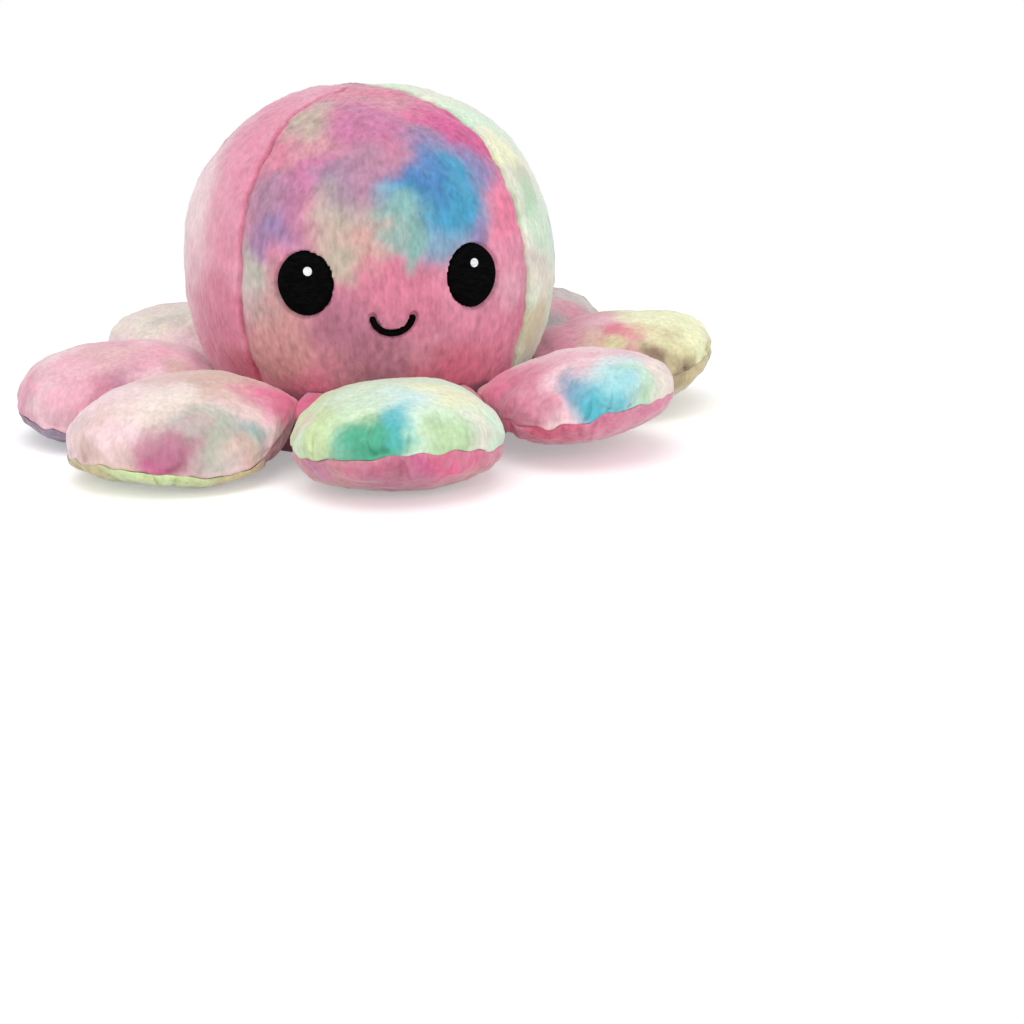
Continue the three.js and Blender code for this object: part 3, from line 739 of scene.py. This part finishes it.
def fromHinge(hinge, place):
    # A tentacle's own places, outwards from its hinge line, turned to where it is sewn on
    x, y = hinge["radius"] + place[:, 0], place[:, 1]
    c, s = math.cos(hinge["turn"]), math.sin(hinge["turn"])
    return np.stack([c * x - s * y, s * x + c * y, hinge["height"] + place[:, 2]], -1)


def bent(body, place):
    # A tentacle's places moved aside and up by tan of its bend, more and more near the hinge
    shape = shapes.get(body, {})
    aside, up = (math.tan(math.radians(shape.get(part, 0))) for part in ("aside", "up"))
    reach = np.clip(place[:, 0], 0, None) * ease(place[:, 0] / pad["bendReach"])
    return place + reach[:, None] * (shape.get("longer", 0), aside, up)


sewing = dict(
    detail=5, scale=20, frames=20, pressure=2.5, grown=-0.05, gathered=0.14, seamReach=2.2,
    pinned=5, uneven=0.25 / 14, unevenSize=5, apart=80, weights=20, rows=72, columns=96,
    near=0.05, far=0.3, most=1.7,
)


def sewnPads():
    # Cloth simulation of the eight tentacles: a ball of cloth is drawn into each one's shape, its
    # side seam gathers, the rest has some cloth to spare, and air swells it out from its pinned
    # neck. What is kept is how far each point moved, less its wide part, over angles from the tip
    # (rows) and round the section (columns).
    ball = bmesh.new()
    bmesh.ops.create_icosphere(ball, subdivisions=sewing["detail"], radius=1)
    mesh = bpy.data.meshes.new("sewn")
    ball.to_mesh(mesh)
    ball.free()
    count = len(mesh.vertices)
    ways = np.zeros(count * 3, np.float32)
    mesh.vertices.foreach_get("co", ways)
    ways = unit(ways.reshape(-1, 3).astype(float))
    corners = np.zeros(len(mesh.loops), np.int32)
    mesh.loops.foreach_get("vertex_index", corners)
    s = pad["length"] * (1 + ways[:, 0]) / 2
    around = np.arctan2(ways[:, 2], ways[:, 1])
    width, thick, _, _ = padSection(s, np.where(ways[:, 2] > 0, pad["rise"], pad["belly"]))
    seam = -pad["sag"] * np.sin(s / pad["length"] * np.pi)
    rest = np.stack([s, width * np.cos(around), seam + thick * np.sin(around)], -1)
    bodies = sorted(hinges)
    starts = np.stack([
        rest * (1 + sewing["uneven"] * waves(rest, sewing["unevenSize"], 60 + index)[:, None])
        + (0, sewing["apart"] * index, 0) for index in range(len(bodies))])
    joined = bpy.data.meshes.new("sewn pads")
    firsts = count * np.arange(len(bodies))[:, None, None]
    triangles = (corners.reshape(1, -1, 3) + firsts).reshape(-1, 3)
    scaled = starts.reshape(-1, 3) * mm * sewing["scale"]
    joined.from_pydata(scaled.tolist(), [], triangles.tolist())
    cloth = newObject("sewn pads", joined)
    height, weights = np.abs(thick * np.sin(around)), sewing["weights"]
    groups = {"seam": ease(1 - height / sewing["seamReach"]),
              "neck": ease(2 - s / sewing["pinned"])}
    for name, weight in groups.items():
        group = cloth.vertex_groups.new(name=name)
        steps = np.round(np.tile(weight, len(bodies)) * weights) / weights
        for step in np.unique(steps[steps > 0]):
            group.add(np.flatnonzero(steps == step).tolist(), float(step), "REPLACE")
    sewn = cloth.modifiers.new("cloth", "CLOTH")
    settings = sewn.settings
    settings.quality, settings.mass = 5, 0.3
    settings.tension_stiffness, settings.compression_stiffness = 15, 15
    settings.shear_stiffness, settings.bending_stiffness = 5, 0.2
    settings.use_pressure, settings.uniform_pressure_force = True, sewing["pressure"]
    settings.vertex_group_mass, settings.vertex_group_shrink = "neck", "seam"
    settings.shrink_min, settings.shrink_max = sewing["grown"], sewing["gathered"]
    settings.effector_weights.gravity = 0
    sewn.collision_settings.use_collision = False
    for step in range(1, sewing["frames"] + 1):
        scene.frame_set(step)
    swollen = cloth.evaluated_get(bpy.context.evaluated_depsgraph_get()).data
    ends = np.zeros(len(swollen.vertices) * 3, np.float32)
    swollen.vertices.foreach_get("co", ends)
    moved = (ends.reshape(starts.shape) / mm / sewing["scale"]) - starts
    bpy.data.objects.remove(cloth)
    scene.frame_set(1)
    down, along = sewing["rows"] + 1, sewing["columns"] + 1
    rows, columns = crossed(np.linspace(0, np.pi, down), np.linspace(0, 2 * np.pi, along))
    grid = np.stack([np.cos(rows), np.sin(rows) * np.cos(columns),
                     np.sin(rows) * np.sin(columns)], -1)

    def blurred(reach, skip):
        # Each place takes its neighbours' moves by exp(-(gap / reach)^2)
        share = np.exp(2 * (grid @ ways[::skip].T - 1) / reach ** 2)
        share /= share.sum(1, keepdims=True)
        return np.einsum("gp,bpk->bgk", share, moved[:, ::skip])

    folds = blurred(sewing["near"], 1) - blurred(sewing["far"], 2)
    size = np.linalg.norm(folds, axis=2, keepdims=True)
    print("pads sewn: folds reach", size.max(axis=(1, 2)).round(2), "mean", size.mean().round(3))
    folds *= np.minimum(1, sewing["most"] / np.maximum(size, 1e-6))
    return {body: folds[index].reshape(down, along, 3) for index, body in enumerate(bodies)}


def sampled(folds, s, around):
    # A tentacle's folds between the four nearest places of their grid
    rows, columns = sewing["rows"], sewing["columns"]
    row = np.arccos(np.clip(2 * s / pad["length"] - 1, -1, 1)) / np.pi * rows
    column = (around / (2 * np.pi) % 1) * columns
    up, left = np.minimum(row.astype(int), rows - 1), np.minimum(column.astype(int), columns - 1)
    down, along = (row - up)[:, None], (column - left)[:, None]
    return ((1 - down) * ((1 - along) * folds[up, left] + along * folds[up, left + 1])
            + down * ((1 - along) * folds[up + 1, left] + along * folds[up + 1, left + 1]))


def padSurface(body, hinge, above, seed):
    # Half a tentacle over u from its root to its tip and v round its section, half an ellipse.
    # The side seam sags and sways, the cloth is pinched in along it, and narrow folds run up from
    # it, by exp(-(noise / width)^2). Near the neck the section is squarer: its height goes by
    # sin^0.55, further out by sin.
    side = 1 if above else -1
    folded, shape = sewnFolds[body], shapes.get(body, {})
    length, middle = pad["length"], 0.5 * pad["length"]
    swell = pad["rise"] if above else pad["belly"] * shape.get("belly", 1)

    def section(u, v):
        # Each point's place before its relief, which way is out, its height over the seam, its
        # fold's depth, how freely it folds, how wide the section still is and its angle round it
        outward = np.sin(np.clip(u, 0, 1) * np.pi / 2) ** pad["crowd"]
        s = pad["root"] + (length - pad["root"]) * outward
        width, thick, closing, close = padSection(s, swell)
        tucked = np.clip(s / pad["root"], 0, 1)
        swung = np.sin(np.clip(s / length, 0, 1) * np.pi)
        width = width * shape.get("wide", 1) + pad["fuller"] * close
        width *= 1 - pad["tuckIn"] * tucked ** 2
        thick *= 1 - pad["tuckAbove"] * tucked if above else 1 + pad["tuckBelow"] * tucked
        drop = shape.get("drop", 0) * ease(s / pad["dropReach"])
        thick = thick + side * drop * close
        around = v * np.pi if above else np.pi + v * np.pi
        y = width * np.cos(around)
        square = pad["square"] * ease(1 - s / pad["squareReach"])
        height = thick * np.abs(np.sin(around)) ** (1 - square)
        angle = np.arctan2(y, np.maximum(s - middle, 0) + 1e-6)
        ring = np.where(s > middle, middle + pad["halfWidth"] * (np.pi / 2 - angle),
                        np.where(y > 0, s, 2 * middle + pad["halfWidth"] * np.pi - s))
        nil, calm = np.zeros_like(ring), ease((s + 1) / pad["neckCalm"])
        sway = pad["sway"] * calm * waves(np.stack([ring, nil, nil], -1), pad["swaySize"], seed)
        sway *= np.clip(1 - height / pad["swayReach"], 0, 1)
        seam = -pad["sag"] * swung - drop + sway
        line = np.stack([ring, pad["foldLean"] * height, nil + pad["apart"] * side], -1)
        fold = np.exp(-(waves(line, pad["foldSize"], seed + 1) / pad["foldWidth"]) ** 2)
        varied = pad["foldVaries"] * waves(line, pad["foldSpread"], seed + 2)
        fold *= np.clip(pad["foldShare"] + varied, 0, 1) * calm
        fold *= np.clip(1 - height / pad["foldReach"], 0, 1)
        fold *= np.clip(height / pad["seamReach"], 0, 1)
        place = np.stack([s, y, seam + side * height], -1)
        out = np.stack([closing * pad["tipLean"], np.cos(around),
                        side * np.abs(np.sin(around))], -1)
        thinner = 0 if above else drop
        calm *= np.clip((swell - thinner) / pad["stiffUnder"], pad["leastFold"], 1)
        return place, unit(out), height, fold * calm, calm, close, around

    def surface(u, v):
        place, out, height, fold, calm, close, around = section(u, v)
        fromSeam = np.clip(height / pad["seamReach"], 0, 1)
        pinched = np.clip(1 - height / pad["pinchReach"], 0, 1) ** 2
        lump = waves(place, pad["lumpSize"], seed + 3) * np.clip(height / pad["lumpReach"], 0, 1)
        move = -pad["fold"] * fold - pad["pinch"] * pinched + pad["lump"] * lump
        move += pad["nap"] * napRelief(place, seed + 300) * fromSeam
        move *= np.clip(close * pad["tipFade"], 0, 1)
        loose = 1 - pad["looseAtSeam"] * np.exp(-(height / pad["seamReach"]) ** 2)
        sewn = (calm * loose)[:, None] * sampled(folded, place[:, 0], around)
        place = bent(body, place + out * move[:, None] + sewn)
        place[:, 2] = np.maximum(place[:, 2], pad["soleLevel"] - hinge["height"])
        return fromHinge(hinge, place)

    # How much shade is painted in, along the side seam and more in deeper folds
    def creaseShade(u, v):
        fold = section(u, v)[3]
        edge = ease(1 - np.minimum(v, 1 - v) * pad["round"] / pad["creaseShade"])
        return np.clip(pad["shadeShare"] * edge + fold, 0, 1)

    return surface, creaseShade


padDyes = {
    "tentacle_1_top": ("yellow", "straw", [
        ((3, -10, 5), 20, "pink", 1.0), ((8, 8, 9), 22, "pink", 1.0),
        ((16, -6, 9), 13, "petal", 0.9), ((11, -14, 7), 10, "shell", 0.8),
        ((22, -21, 3), 9, "pink", 0.9), ((21, -15, 7), 10, "hotPink", 0.8),
        ((34, -3, 10), 15, "yellow", 1.0), ((45, -3, 7), 15, "yellow", 1.0),
        ((42, -15, 4), 12, "yellow", 0.9), ((32, -16, 6), 7, "straw", 0.6),
        ((31, -25, 0), 8, "umber", 1.0), ((38, -23, -2), 8, "umber", 0.9),
        ((50, -8, 0), 9, "straw", 0.8),
    ]),
    "tentacle_1_under": ("umber", "straw", []),
    "tentacle_2_top": ("grey", "mauve", [
        ((29, -16, 7), 10, "grey", 0.7), ((24, -20, 4), 13, "pink", 0.8),
        ((10, -16, 6), 9, "slate", 0.5),
    ]),
    "tentacle_2_under": ("pink", "rose", []),
    "tentacle_3_top": ("mauve", "blush", [((30, 0, 8), 16, "sky", 0.8)]),
    "tentacle_3_under": ("lime", "yellow", []),
    "tentacle_4_top": ("cream", "blush", [
        ((21, 16, 8), 9, "grey", 0.6), ((10, 20, 3), 12, "blush", 0.9),
    ]),
    "tentacle_4_under": ("grey", "blush", []),
    "tentacle_5_top": ("blush", "petal", [
        ((40, 0, 9), 14, "blush", 0.9), ((24, 10, 10), 12, "shell", 0.4),
        ((29, 25, 0), 13, "rose", 0.8), ((38, 21, 1), 10, "petal", 0.9),
        ((25, 20, 5), 10, "plum", 0.4), ((8, 18, 4), 10, "shell", 0.8),
        ((49, 10, -3), 11, "pink", 0.9), ((50, -4, 0), 9, "petal", 0.8),
        ((21, 24, 0), 9, "mauve", 0.5),
    ]),
    "tentacle_5_under": ("slate", "mauve", []),
    "tentacle_6_top": ("blush", "shell", [
        ((36, 8, 9), 16, "cream", 0.7), ((42, 12, 4), 10, "sand", 0.3),
        ((35, 23, 0), 12, "sage", 1.0), ((40, 20, 4), 9, "grey", 0.8),
        ((25, 26, -1), 10, "seafoam", 0.8), ((30, 24, 6), 8, "grey", 0.7),
        ((10, 20, 5), 12, "pink", 0.9), ((3, 18, 0), 14, "hotPink", 1.0),
        ((45, 16, -6), 12, "plum", 0.9), ((40, 20, -2), 8, "plum", 0.6),
        ((47, 13, -9), 8, "magenta", 0.6), ((51, -6, -2), 13, "shell", 0.7),
        ((36, 24, -8), 9, "sage", 0.7), ((26, 26, -7), 9, "shell", 0.8),
    ]),
    "tentacle_6_under": ("straw", "lime", [
        ((12, 20, -5), 15, "plum", 0.9), ((30, 25, -8), 9, "straw", 0.8),
        ((44, 16, -12), 12, "lime", 0.8),
    ]),
    "tentacle_7_top": ("lime", "mint", [
        ((26, -8, 10), 17, "mint", 0.8), ((31, 12, 9), 16, "yellow", 0.9),
        ((38, 0, 10), 14, "ice", 0.9), ((36, -20, 4), 10, "lime", 0.9),
        ((46, -16, 0), 9, "jade", 0.8), ((48, -12, 1), 9, "teal", 1.0),
        ((51, -5, 0), 10, "teal", 1.0), ((49, -2, 4), 8, "cyan", 0.7),
        ((45, -2, 7), 9, "cyan", 0.4), ((45, 8, 7), 9, "mint", 0.9),
        ((49, 12, 0), 10, "moss", 0.8), ((42, 21, 2), 9, "cream", 0.7),
        ((28, -24, 0), 8, "petal", 0.6),
    ]),
    "tentacle_7_under": ("taupe", "rose", [
        ((50, 4, -5), 5, "magenta", 0.7), ((49, 10, -5), 5, "hotPink", 0.8),
        ((44, 18, -4), 5, "hotPink", 0.6), ((50, -6, -5), 5, "crimson", 0.7),
        ((38, -22, -5), 8, "orchid", 0.7), ((48, -4, -11), 14, "plum", 0.7),
    ]),
    "tentacle_8_top": ("petal", "blush", [
        ((6, -18, 1), 15, "hotPink", 0.9), ((14, -19, 4), 14, "rose", 1.0),
        ((21, -9, 9), 12, "petal", 0.9), ((20, -24, -1), 15, "rose", 0.9),
        ((33, -17, 6), 9, "steel", 0.9), ((36, -19, 4), 9, "violet", 0.4),
        ((40, -17, 3), 12, "cyan", 1.0), ((42, -7, 8), 14, "ice", 0.9),
        ((43, -12, 6), 8, "cyan", 0.4), ((48, -4, 5), 12, "green", 0.8),
        ((47, 4, 7), 11, "cream", 0.8),
    ]),
    "tentacle_8_under": ("rose", "pink", [
        ((26, -26, -4), 13, "crimson", 0.9), ((38, -23, -5), 5, "hotPink", 0.9),
        ((12, -18, -4), 12, "crimson", 0.7),
    ]),
}
padGrid = shares(161, 0.2), shares(129, 0.3)
sewnFolds = sewnPads()

for index, (body, hinge) in enumerate(sorted(hinges.items())):
    for above, kind in ((True, "top"), (False, "under")):
        surface, creaseShade = padSurface(body, hinge, above, 100 + 7 * index)
        thin = not above and shapes.get(body, {}).get("drop", 0) > pad["thinFrom"]
        cloth = pad["thinCloth"] if thin else pad["cloth"]
        piece = clothPiece(f"{body}_{kind}_cloth", surface, *padGrid, cloth, creaseShade)
        ground, second, patches = padDyes[f"{body}_{kind}"]
        patches = [(fromHinge(hinge, np.array([at], float))[0].tolist(), *dyed)
                   for at, *dyed in patches]
        piece.data.materials.append(plushFinish(f"{body} {kind} plush", ground, second, patches))
        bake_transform(piece)
        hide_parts(f"{body}_{'upper' if above else 'lower'}")
print("tentacles made")


# Stuffing

# In millimetres, but for counts, the crown's angle and slack. A tuft is taken as a share of half
# a tentacle (within) or of the head (headWithin).
stuffing = dict(
    inset=3.4, headInset=3.5, liningInset=3.9, tuft=0.5, tuftSize=6, headTuftSize=9, mostTuft=0.3,
    rows=44, round=64, start=0.6, tipGap=0.3, opening=0.05, within=12, slack=0.02, domeRows=46,
    domeRound=96, crown=1.555, domeFoot=9.6, foot=9.3, axis=0.2, headWithin=40, headSlack=0.004,
)
fibres = dict(size=0.0012, swirl=0.012, swirlSize=0.006, tones=(0.4, 0.7))


def stuffingFinish():
    # White polyester fibre: fine threads in clouds of slightly different white
    finish = Finish(bpy.data.materials.new("polyester filling"))
    place = finish.add("TexCoord", output="Object")
    swirl = finish.noise(place, fibres["swirlSize"], 3, 1)
    swirl = finish.vector("MULTIPLY", swirl, [fibres["swirl"]] * 3)
    fibre = finish.noise(finish.vector("ADD", place, swirl), fibres["size"], 4)
    color = finish.mix(linear("#f6f5f1"), linear("#dedcd5"), finish.ramp(fibre, *fibres["tones"]))
    return finish.surface({"Base Color": color, "Roughness": 0.9, "Specular IOR Level": 0.1,
                           "Sheen Weight": 0.4, "Sheen Roughness": 0.5})


stuffed = stuffingFinish()


def tufts(places, size, seed):
    # Uneven filling, in millimetres, which never comes out far
    return np.minimum(stuffing["tuft"] * waves(places, size, seed), stuffing["mostTuft"])


def padStuffing(body, hinge, seed):
    # A tentacle's section made smaller all round, from just outside the hinge line to the tip
    inset, start = stuffing["inset"], stuffing["start"]
    grid = stuffing["rows"], stuffing["round"]
    share, around = crossed(shares(grid[0], 0.6), np.arange(grid[1]) / grid[1])
    around = around * 2 * np.pi
    s = start + (pad["length"] - inset - start - stuffing["tipGap"]) * share
    swell = np.where(np.sin(around) >= 0, pad["rise"], pad["belly"])
    width, thick, _, _ = padSection(s, swell, inset)
    opening = np.sin(np.clip(share / stuffing["opening"] + 0.1, 0, 1) * np.pi / 2)
    seam = -pad["sag"] * np.sin(np.clip(s / pad["length"], 0, 1) * np.pi)
    place = np.stack([s, width * opening * np.cos(around),
                      seam + thick * opening * np.sin(around)], -1)
    uneven = tufts(place, stuffing["tuftSize"], seed) / stuffing["within"]
    place[:, 1:] *= (1 + uneven - stuffing["slack"])[:, None]
    return fromHinge(hinge, bent(body, place)).reshape(*grid, 3)


for index, (body, hinge) in enumerate(sorted(hinges.items())):
    piece = tubeObject(f"{body}_stuffing", padStuffing(body, hinge, 300 + index))
    dress(piece, body, "polyester_filling", stuffed, f"{body}_filling")


def domeProfile(form, inset):
    # A dome's section from the crown down to the hem, at a depth measured square to it
    foot = math.asin((stuffing["domeFoot"] - form["belt"]) / form["drop"])
    angles = np.linspace(stuffing["crown"], foot, stuffing["domeRows"])
    radius, level = domeSection(form, angles)
    return np.stack([radius, level], -1) - inset * np.stack([np.cos(angles), np.sin(angles)], -1)


def headStuffing():
    # Between the head's cloth and the lining: down outside, up inside, and round the axis
    count = stuffing["domeRound"]
    outer = domeProfile(head, stuffing["headInset"])
    profile = np.vstack([outer, domeProfile(pocket, -stuffing["liningInset"])[::-1]])
    profile = np.maximum(profile, (stuffing["axis"], stuffing["foot"]))
    turn = np.arange(count) * 2 * np.pi / count
    rings = spun(profile[:, :1], turn, np.repeat(profile[:, 1:], count, axis=1))
    uneven = tufts(rings.reshape(-1, 3), stuffing["headTuftSize"], 340).reshape(-1, count)
    facing = np.where(np.arange(len(profile)) < len(outer), 1, -1)[:, None]
    wider = facing * (uneven / stuffing["headWithin"] - stuffing["headSlack"])
    rings[..., :2] *= (1 + wider)[..., None]
    return rings[::-1]


piece = tubeObject("head_stuffing", headStuffing())
dress(piece, "body", "polyester_filling", stuffed, "head_filling")
print("stuffing made")


# Skirt and its webs, hem

skirt = dict(
    reach=48.6, web=9.9, top=19.4, flatTop=12.4, foot=9.1, flat=14, full=20.5, gap=0.5,
    above=1.15, below=0.7, cloth=1.6, dyedAt=(54, 16),
)
skirtDyes = ((-114, 12, "hotPink"), (-68, 10, "taupe"), (-22, 12, "rose"), (22, 12, "salmon"),
             (-159, 12, "pink"), (67, 12, "mauve"), (112, 12, "mint"), (157, 12, "blush"))


def skirtSurface(u, v):
    # Round the toy over v, and over u from the hem's top out and up to the crease under the head.
    # Between two tentacles it rises and runs out to make a web.
    turn = (v + 1 / 16) * 2 * np.pi
    middles = np.array(sorted(h["turn"] % (2 * np.pi) for h in hinges.values()))
    gap = np.degrees(np.abs((turn[:, None] - middles + np.pi) % (2 * np.pi) - np.pi).min(1))
    web = ease((gap - skirt["flat"]) / (skirt["full"] - skirt["flat"]))
    top = skirt["flatTop"] + (skirt["top"] - skirt["flatTop"]) * web
    reach = skirt["reach"] + skirt["web"] * web
    angle = (u - 0.5) * np.pi
    thick = (top - skirt["foot"]) / 2
    level = skirt["foot"] + thick + thick * np.sin(angle)
    inner = domeRadius(head, level) + skirt["gap"]
    out = np.cos(angle) ** np.where(angle > 0, skirt["above"], skirt["below"])
    out = inner + (reach - inner) * out
    place = spun(out, turn, level)
    return place + spun(napRelief(place), turn, 0 * level)


webSteps = np.append((np.arange(8)[:, None] + shares(81, 0.75)[None, :-1]).ravel() / 8, 1)
piece = clothPiece("skirt_cloth", skirtSurface, shares(41), webSteps, skirt["cloth"])
out, level = skirt["dyedAt"]
patches = [(spun(out, math.radians(turn), level).tolist(), radius, dye, 0.9)
           for turn, radius, dye in skirtDyes]
dress(piece, "body", "skirt_plush", plushFinish("skirt plush", "rose", "pink", patches),
      "skirt_ring")

hem = dict(outer=45.9, inner=29.9, height=8.7, cloth=2)


def hemSurface(u, v):
    # A ring over v, with a squarish section over u: a superellipse of power 4
    turn, angle = v * 2 * np.pi, u * 2 * np.pi
    halfWide, halfHigh = (hem["outer"] - hem["inner"]) / 2, hem["height"] / 2
    x = np.sign(np.cos(angle)) * np.abs(np.cos(angle)) ** 0.5 * halfWide
    z = np.sign(np.sin(angle)) * np.abs(np.sin(angle)) ** 0.5 * halfHigh
    out = hem["inner"] + halfWide + x
    return spun(out, turn, halfHigh + z)


piece = clothPiece("hem_cloth", hemSurface, shares(81), shares(301), hem["cloth"])
dress(piece, "body", "skirt_plush", plushFinish("hem plush", "pink", "mauve", []), "hem_ring")
print("skirt and hem made")


# Camera, floor and light

view = dict(
    eye=(-59.74, -578.07, 141.22), back=(-0.16411, -0.94504, 0.28279),
    right=(0.98403, -0.17685, -0.01998), up=(0.06889, 0.275, 0.95897), lens=69.67,
)
camera = newObject("camera", bpy.data.cameras.new("camera"))
camera.data.sensor_width = 36
camera.data.lens = view["lens"]
camera.data.clip_start, camera.data.clip_end = 0.01, 50
axes = Matrix([view["right"], view["up"], view["back"]]).transposed()
camera.matrix_world = Matrix.Translation(Vector(view["eye"]) * mm) @ axes.to_4x4()
scene.camera = camera

studio = dict(
    world=0.56, floor=0.9, glow=0.34, fadeStart=0.14, fadeEnd=0.4, target=(0, 0, 0.05),
    lamps={"top light": ((-0.15, -0.35, 1.1), 1.0, 5.5),
           "front light": ((0.1, -1.2, 0.3), 1.0, 6.0)},
)


def seenBare(finish):
    # 1 where the camera, a mirror or glass looks: the rays that see the white background
    first, second, third = (finish.add("LightPath", output=f"Is {kind} Ray")
                            for kind in ("Camera", "Glossy", "Transmission"))
    return first.maths("MAXIMUM", first, second.maths("MAXIMUM", second, third))


floorMesh = bpy.data.meshes.new("floor")
floorMesh.from_pydata([(-4, -4, 0), (4, -4, 0), (4, 4, 0), (-4, 4, 0)], [], [(0, 1, 2, 3)])
floor = newObject("floor", floorMesh)
finish = Finish(bpy.data.materials.new("floor"))
place = finish.add("TexCoord", output="Object")
length = finish.add("VectorMath", {"operation": "LENGTH"}, {0: place}, "Value")
away = finish.ramp(length, studio["fadeStart"], studio["fadeEnd"])
matt = finish.add("BsdfDiffuse", None, {"Color": [studio["floor"]] * 3 + [1]})
white, glow = (finish.add("Emission", None, {"Color": (1, 1, 1, 1), "Strength": strength})
               for strength in (1.0, studio["glow"]))
lit = finish.add("AddShader", None, {0: matt, 1: glow})
shown = finish.add("MixShader", None, {0: away, 1: lit, 2: white})
both = finish.add("MixShader", None, {0: seenBare(finish), 1: matt, 2: shown})
finish.add("OutputMaterial", None, {"Surface": both})
floorMesh.materials.append(finish.owner)

world = bpy.data.worlds.new("studio")
scene.world = world
finish = Finish(world)
soft, bright = (finish.add("Background", None, {"Color": (1, 1, 1, 1), "Strength": strength})
                for strength in (studio["world"], 1.0))
mixed = finish.add("MixShader", None, {0: seenBare(finish), 1: soft, 2: bright})
finish.add("OutputWorld", None, {"Surface": mixed})

for name, (place, size, power) in studio["lamps"].items():
    lamp = newObject(name, bpy.data.lights.new(name, "AREA"))
    lamp.data.size, lamp.data.energy = size, power
    lamp.location = place
    aim = Vector(studio["target"]) - Vector(place)
    lamp.rotation_euler = aim.to_track_quat("-Z", "Y").to_euler()

scene.view_settings.view_transform = "Standard"
